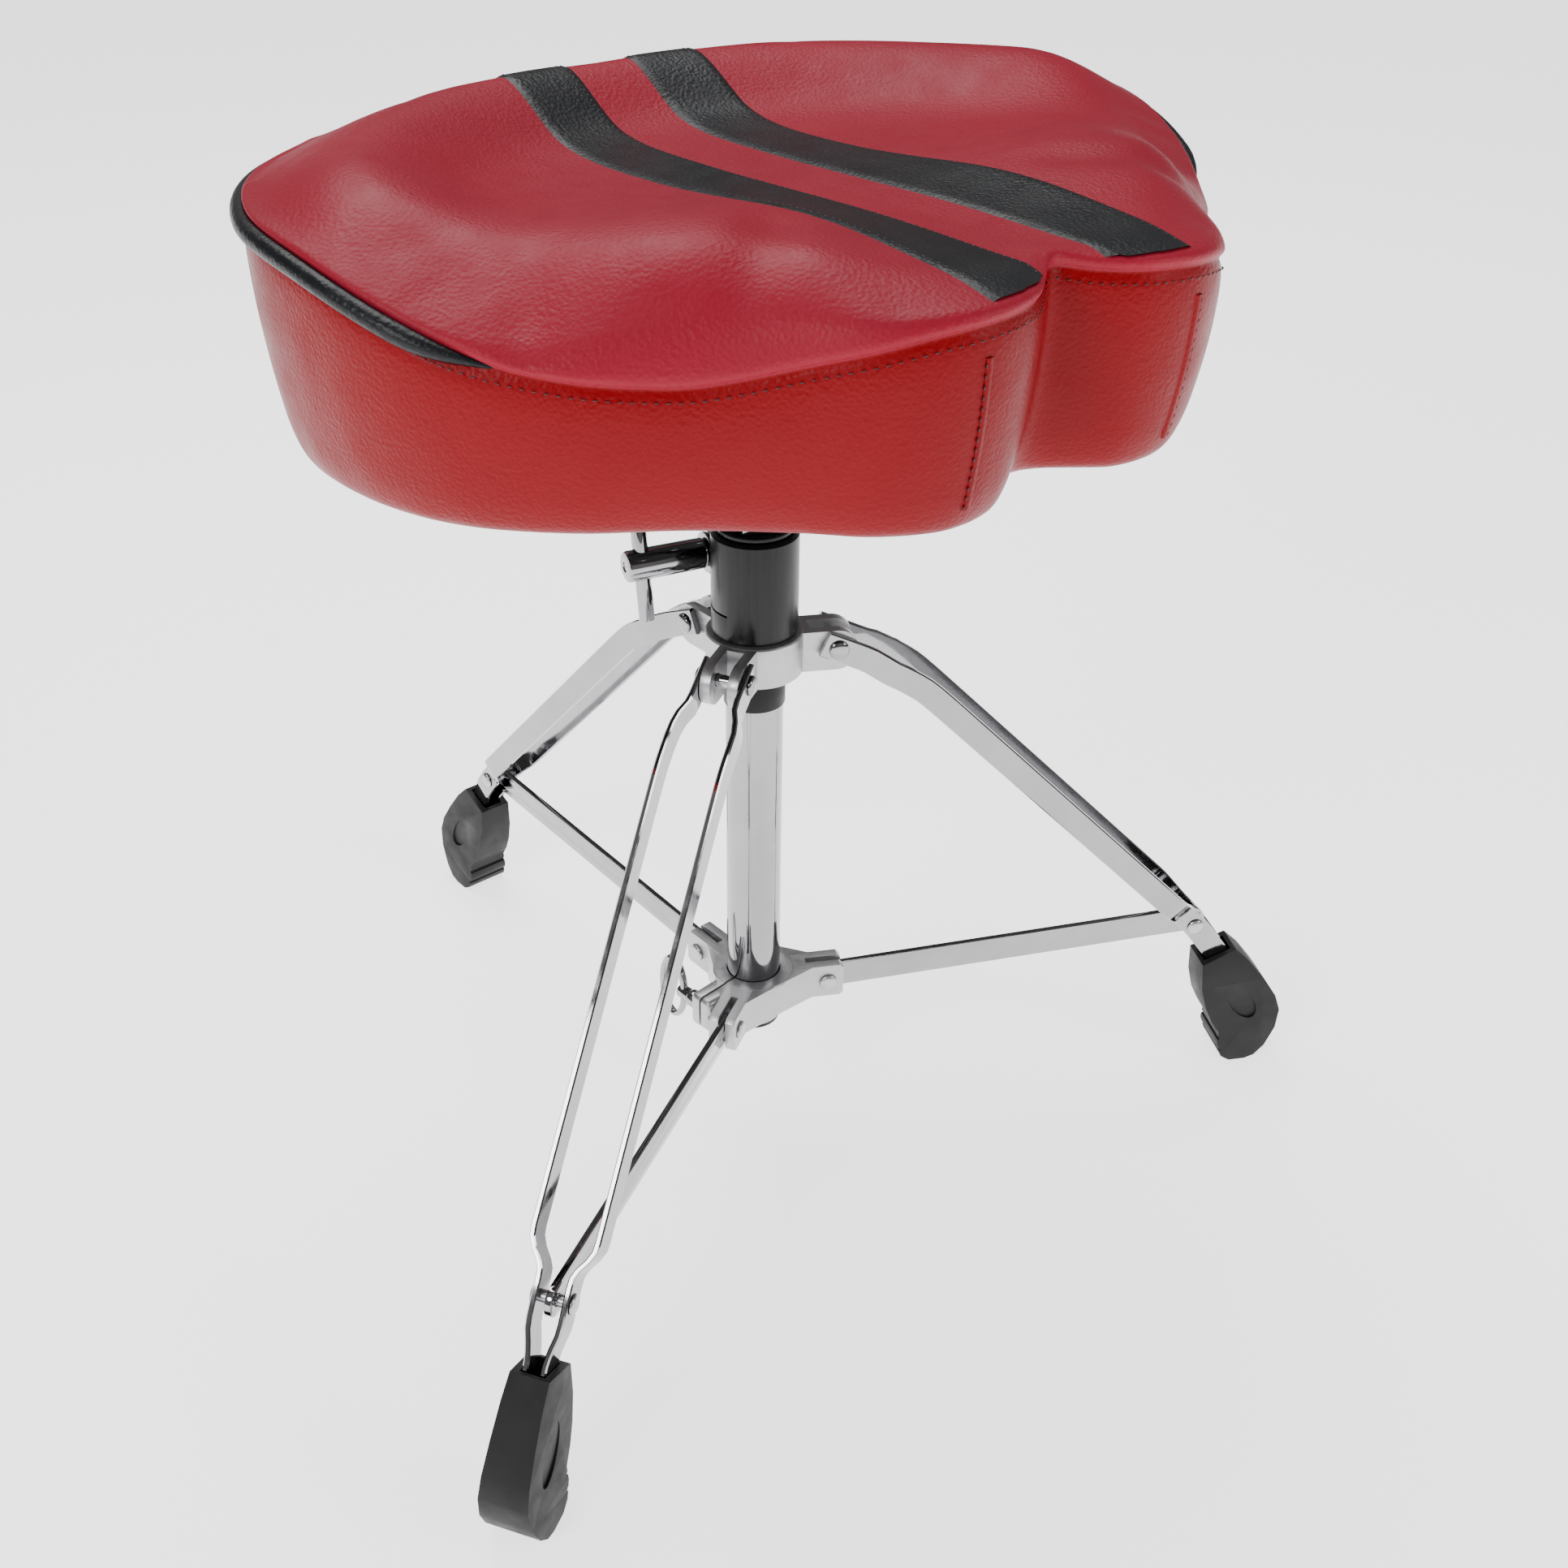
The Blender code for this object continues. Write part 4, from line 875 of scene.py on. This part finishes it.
def build_cover():
    """The sewn cover, puffed by a short cloth run that is held at its seam and hem."""
    outline = seat_outline(AROUND)
    rows = seat_rows(outline, outline_normals(outline))
    bm = bmesh.new()
    made = [[bm.verts.new(COLUMN + point) for point in row] for row in rows]
    centre = bm.verts.new(COLUMN + Vector((0, -0.02, top_height(0, 0.02))))
    for i in range(AROUND):
        k = (i + 1) % AROUND
        bm.faces.new((centre, made[0][i], made[0][k]))
        for upper, lower in zip(made, made[1:]):
            bm.faces.new((upper[i], lower[i], lower[k], upper[k]))
    bmesh.ops.recalc_face_normals(bm, faces=bm.faces)
    bm.normal_update()
    if centre.normal.z < 0:
        bmesh.ops.reverse_faces(bm, faces=bm.faces)
    mesh = bpy.data.meshes.new("vinyl_cover")
    bm.to_mesh(mesh)
    bm.free()
    puff(mesh, len(rows))
    for face in mesh.polygons:
        face.use_smooth = True
    cover = show("vinyl_cover", mesh, RED, "seat", ["seat_cover", "seat_foam"])
    # The top panel gets the paler, pinker copy of the red vinyl, a painted sheen standing in for the overhead
    # light on the top.
    mesh.materials.append(RED_TOP_PAINTED_SHEEN)
    for face in mesh.polygons:
        if all(vert // AROUND <= SEAM_ROW or vert == len(rows) * AROUND for vert in face.vertices):
            face.material_index = 1
    fine = cover.modifiers.new("Fine", "SUBSURF")
    fine.levels = fine.render_levels = 1
    return cover


def puff(mesh, row_count):
    """Cloth under light pressure, pinned along the seam and under the board; no point moves over the cap."""
    cap = 0.0035
    start = [vert.co.copy() for vert in mesh.vertices]
    holder = bpy.data.objects.new("puff", mesh)
    bpy.context.scene.collection.objects.link(holder)
    held = holder.vertex_groups.new(name="held")
    for row in range(row_count):
        weight = 1.0 if abs(row - SEAM_ROW) <= 1 or row >= row_count - 3 else 0.0
        if weight:
            held.add(list(range(row * AROUND, (row + 1) * AROUND)), weight, "REPLACE")
    cloth = holder.modifiers.new("Cloth", "CLOTH")
    cloth.settings.use_pressure = True
    cloth.settings.uniform_pressure_force = 3.0
    cloth.settings.vertex_group_mass = "held"
    cloth.settings.effector_weights.gravity = 0
    cloth.settings.tension_stiffness = 25
    cloth.settings.compression_stiffness = 25
    cloth.settings.bending_stiffness = 2.0
    cloth.collision_settings.use_collision = False
    scene = bpy.context.scene
    for step in range(1, 15):
        scene.frame_set(step)
    puffed = applied(holder)
    for vert, was, now in zip(mesh.vertices, start, puffed.vertices):
        move = now.co - was
        if move.length > cap:
            move = move.normalized() * cap
        vert.co = was + move
    bpy.data.objects.remove(holder)
    bpy.data.meshes.remove(puffed)
    scene.frame_set(1)


def surface_tree(cover):
    mesh = applied(cover)
    bm = bmesh.new()
    bm.from_mesh(mesh)
    bm.transform(cover.matrix_world)
    tree = BVHTree.FromBMesh(bm)
    bm.free()
    bpy.data.meshes.remove(mesh)
    return tree


# Seat trims ----------------------------------------------------------------------------------------
def build_piping():
    """The black welt in the seam round the back, tapering out of sight at both ends."""
    outline = seat_outline(AROUND)
    normals = outline_normals(outline)
    back = [i for i in range(-AROUND // 2, AROUND // 2) if outline[i].y < 0.094]
    section, radius = 20, 0.0042

    def build(bm):
        rows = []
        for step, i in enumerate(back):
            point, normal = outline[i], normals[i]
            ends = min(step, len(back) - 1 - step)
            size = radius * (0.12 + 0.88 * smooth(ends, -1, 6))
            centre = COLUMN + Vector((point.x, -point.y, seam_height(*point)))
            out = Vector((normal.x, -normal.y, 0))
            centre += out * (0.0006 - 0.004 * (1 - smooth(ends, -1, 6)))
            rows.append([
                bm.verts.new(centre + out * size * math.cos(math.tau * k / section)
                             + Vector((0, 0, 1)) * size * math.sin(math.tau * k / section))
                for k in range(section)
            ])
        for first, second in zip(rows, rows[1:]):
            for k in range(section):
                n = (k + 1) % section
                bm.faces.new((first[k], first[n], second[n], second[k]))
        bm.faces.new(rows[0])
        bm.faces.new(rows[-1][::-1])
    welt = mesh_of("piping_welt", build, True)
    show("piping_welt", welt, BLACK, "seat", ["seat_piping"])


STRIPE_WIDTH, STRIPE_OFFSET, STITCH_INSET = 0.0380, 0.0365, 0.0034


def stripe_limits(x, outline):
    near = [p.y for p in outline if abs(p.x - x) < 0.0035]
    return min(near) + 0.0030, max(near) - 0.0035


def drop(tree, x, f):
    """The cover's point and normal under a place seen from above."""
    hit, normal = tree.ray_cast(COLUMN + Vector((x, -f, 1.0)), Vector((0, 0, -1)))[:2]
    if normal.z < 0:
        normal = -normal
    return hit, normal


def build_stripe(word, side, tree):
    """An applied band with turned edges, sewn down along both sides."""
    outline = seat_outline(600)
    across, along, rise = 16, 150, 0.0011

    def build(bm):
        rows = []
        for j in range(along + 1):
            row = []
            for i in range(across + 1):
                u = i / across
                x = side * (STRIPE_OFFSET + STRIPE_WIDTH * (u - 0.5))
                back, front = stripe_limits(x, outline)
                f = back + (front - back) * j / along
                hit, normal = drop(tree, x, f)
                edge = min(u, 1 - u) * STRIPE_WIDTH
                sunk = 0.0004 * math.exp(-((edge - STITCH_INSET) / 0.0008) ** 2)
                lift = rise * smooth(edge, -0.0004, 0.0014) - sunk
                row.append(bm.verts.new(hit + normal * (lift - 0.0002)))
            rows.append(row)
        for first, second in zip(rows, rows[1:]):
            for i in range(across):
                bm.faces.new((first[i], first[i + 1], second[i + 1], second[i]))
    mesh = mesh_of(f"stripe_band_{word}", build, True)
    if mesh.polygons[0].normal.z < 0:
        mesh.flip_normals()
    show(f"stripe_band_{word}", mesh, BLACK, "seat", [f"stripe_{word}"])
    lines = []
    for inset in (STITCH_INSET, STRIPE_WIDTH - STITCH_INSET):
        x = side * (STRIPE_OFFSET - STRIPE_WIDTH / 2 + inset)
        back, front = stripe_limits(x, outline)
        spots = []
        for j in range(240):
            f = back + 0.004 + (front - back - 0.006) * j / 239
            hit, normal = drop(tree, x, f)
            spots.append((hit + normal * (rise - 0.0003), normal))
        lines.append(spots)
    name = f"stripe_stitching_{word}"
    show(name, stitch_mesh(name, lines, 0.0030), BLACK_THREAD, "seat")


def stitch_mesh(name, lines, pitch, length=0.0023, width=0.00038):
    """Short raised stitches spaced along lines of (point, normal)."""
    def build(bm):
        for spots in lines:
            walked = 0.0
            for (here, normal), (after, _) in zip(spots, spots[1:]):
                walked += (after - here).length
                if walked < pitch:
                    continue
                walked = 0.0
                along = (after - here).normalized()
                side = normal.cross(along).normalized()
                up = along.cross(side)
                turn = Matrix((along, side, up)).transposed().to_4x4()
                size = Matrix.Diagonal((length / 2, width, width, 1))
                bmesh.ops.create_icosphere(bm, subdivisions=1, radius=1.0,
                                           matrix=Matrix.Translation(here) @ turn @ size)
    return mesh_of(name, build, True)


def seam_spots(low, high, offset, rise):
    """Places along the seam where the outline's index share runs from low to high."""
    outline = seat_outline(1200)
    normals = outline_normals(outline)
    spots = []
    for i in range(int(1200 * low), int(1200 * high)):
        point, normal = outline[i], normals[i]
        out = Vector((normal.x, -normal.y, 0))
        spots.append((COLUMN + Vector((point.x, -point.y, seam_height(*point) + rise)) + out * offset, out))
    return spots


def build_seam_stitches():
    """Topstitching just under the seam all the way round, and down the joins on both lobes."""
    lines = [seam_spots(0.0, 1.0, 0.0007, -0.0042)]
    for side in (1, -1):
        spots, normal = side_join(side)
        lines.append([(spot + normal * 0.0003, normal) for spot in spots])
    stitches = stitch_mesh("seam_stitching", lines, 0.0034)
    show("seam_stitching", stitches, RED_THREAD, "seat")

    def build(bm):
        for side in (1, -1):
            spots, normal = side_join(side)
            across = Vector((-normal.y, normal.x, 0))
            profile = [(-0.0036, -0.0006), (-0.0026, 0.0002), (-0.0004, 0.0005), (0.0, -0.0008),
                       (0.0004, -0.0002), (0.0010, -0.0006)]
            rows = [[bm.verts.new(spot + across * u * side + normal * w) for u, w in profile]
                    for spot in spots]
            for first, second in zip(rows, rows[1:]):
                for k in range(len(profile) - 1):
                    bm.faces.new((first[k], first[k + 1], second[k + 1], second[k]))
    show("side_join", mesh_of("side_join", build, True), RED, "seat")


def side_join(side):
    """Points down the side panel's upright join on one lobe, and the way it faces."""
    outline = seat_outline(1200)
    normals = outline_normals(outline)
    i = min(range(1200), key=lambda k: abs(outline[k].x - side * 0.060) + abs(outline[k].y - 0.199))
    point, normal = outline[i], normals[i]
    out = Vector((normal.x, -normal.y, 0))
    high = seam_height(*point) - 0.0110
    spots = [COLUMN + wall_place(point, normal, high, 1 - step / 45 * 0.97, 0.0003) for step in range(46)]
    return spots, out


def build_seat():
    cover = build_cover()
    tree = surface_tree(cover)
    build_piping()
    for word, side in (("left", 1), ("right", -1)):
        build_stripe(word, side, tree)
    build_seam_stitches()


# CAD nodes that keep their own shape ---------------------------------------------------------------
def dress_kept_nodes():
    looks = {
        "tube_end_plug": NYLON, "tube_bush": NYLON, "thrust_washer": NYLON, "seat_bracket": BLACK_METAL,
        "seat_board": PLYWOOD, "dust_cover": CLOTH, "socket_set_screw": STEEL, "clamp_nut": STEEL,
    }
    for number in range(1, 5):
        looks[f"bracket_screw_{number}"] = STEEL
    for name, look in looks.items():
        node = NODES[name]
        node.data.materials.clear()
        node.data.materials.append(look)


# Studio --------------------------------------------------------------------------------------------
def build_studio():
    bpy.ops.mesh.primitive_plane_add(size=40)
    floor = bpy.context.object
    floor.name = "studio_floor"
    floor.data.materials.append(studio_floor("studio_floor"))
    world = bpy.data.worlds.new("studio")
    bpy.context.scene.world = world
    world.use_nodes = True
    nodes, links = world.node_tree.nodes, world.node_tree.links
    where = nodes.new("ShaderNodeTexCoord").outputs["Generated"]
    waves = nodes.new("ShaderNodeTexGradient")
    waves.gradient_type = "RADIAL"
    links.new(where, waves.inputs["Vector"])
    ramp = nodes.new("ShaderNodeValToRGB")
    ramp.color_ramp.interpolation = "EASE"
    stops = [(0.00, 0.95), (0.10, 0.50), (0.20, 1.05), (0.33, 0.30), (0.42, 0.90), (0.55, 1.10), (0.64, 0.30),
             (0.74, 0.85), (0.86, 0.35), (0.95, 0.95)]
    ramp.color_ramp.elements[0].position = stops[0][0]
    ramp.color_ramp.elements[1].position = stops[-1][0]
    for position, _ in stops[1:-1]:
        ramp.color_ramp.elements.new(position)
    for element, (_, grey) in zip(ramp.color_ramp.elements, stops):
        element.color = (grey, grey, grey, 1)
    links.new(waves.outputs["Fac"], ramp.inputs["Fac"])
    # Looked at directly, the surroundings are as pale as the floor; the chrome reflects the grey bands.
    seen = nodes.new("ShaderNodeMix")
    seen.data_type = "RGBA"
    seen.clamp_result = False
    links.new(nodes.new("ShaderNodeLightPath").outputs["Is Camera Ray"], seen.inputs["Factor"])
    links.new(ramp.outputs["Color"], seen.inputs[6])
    seen.inputs[7].default_value = (8.0, 8.0, 8.0, 1)
    links.new(seen.outputs[2], nodes["Background"].inputs["Color"])
    nodes["Background"].inputs["Strength"].default_value = 0.30
    add_light("overhead", (0.2, 0.7, 2.2), (0, 0, 0.4), 1.6, 42)
    add_light("key", (-1.9, -0.5, 1.5), (0, 0, 0.4), 0.8, 26)
    add_light("fill", (0.9, -1.9, 1.3), (0, 0, 0.4), 0.8, 14)


def add_light(name, place, aim, size, power):
    data = bpy.data.lights.new(name, "AREA")
    data.shape = "DISK"
    data.size = size
    data.energy = power
    lamp = bpy.data.objects.new(name, data)
    bpy.context.scene.collection.objects.link(lamp)
    lamp.location = place
    lamp.rotation_euler = (Vector(aim) - Vector(place)).to_track_quat("-Z", "Y").to_euler()


build_camera()
build_column()
build_upper_collar()
build_lower_collar()
build_clamp()
build_wing_screw()
build_legs()
build_seat()
dress_kept_nodes()
build_studio()
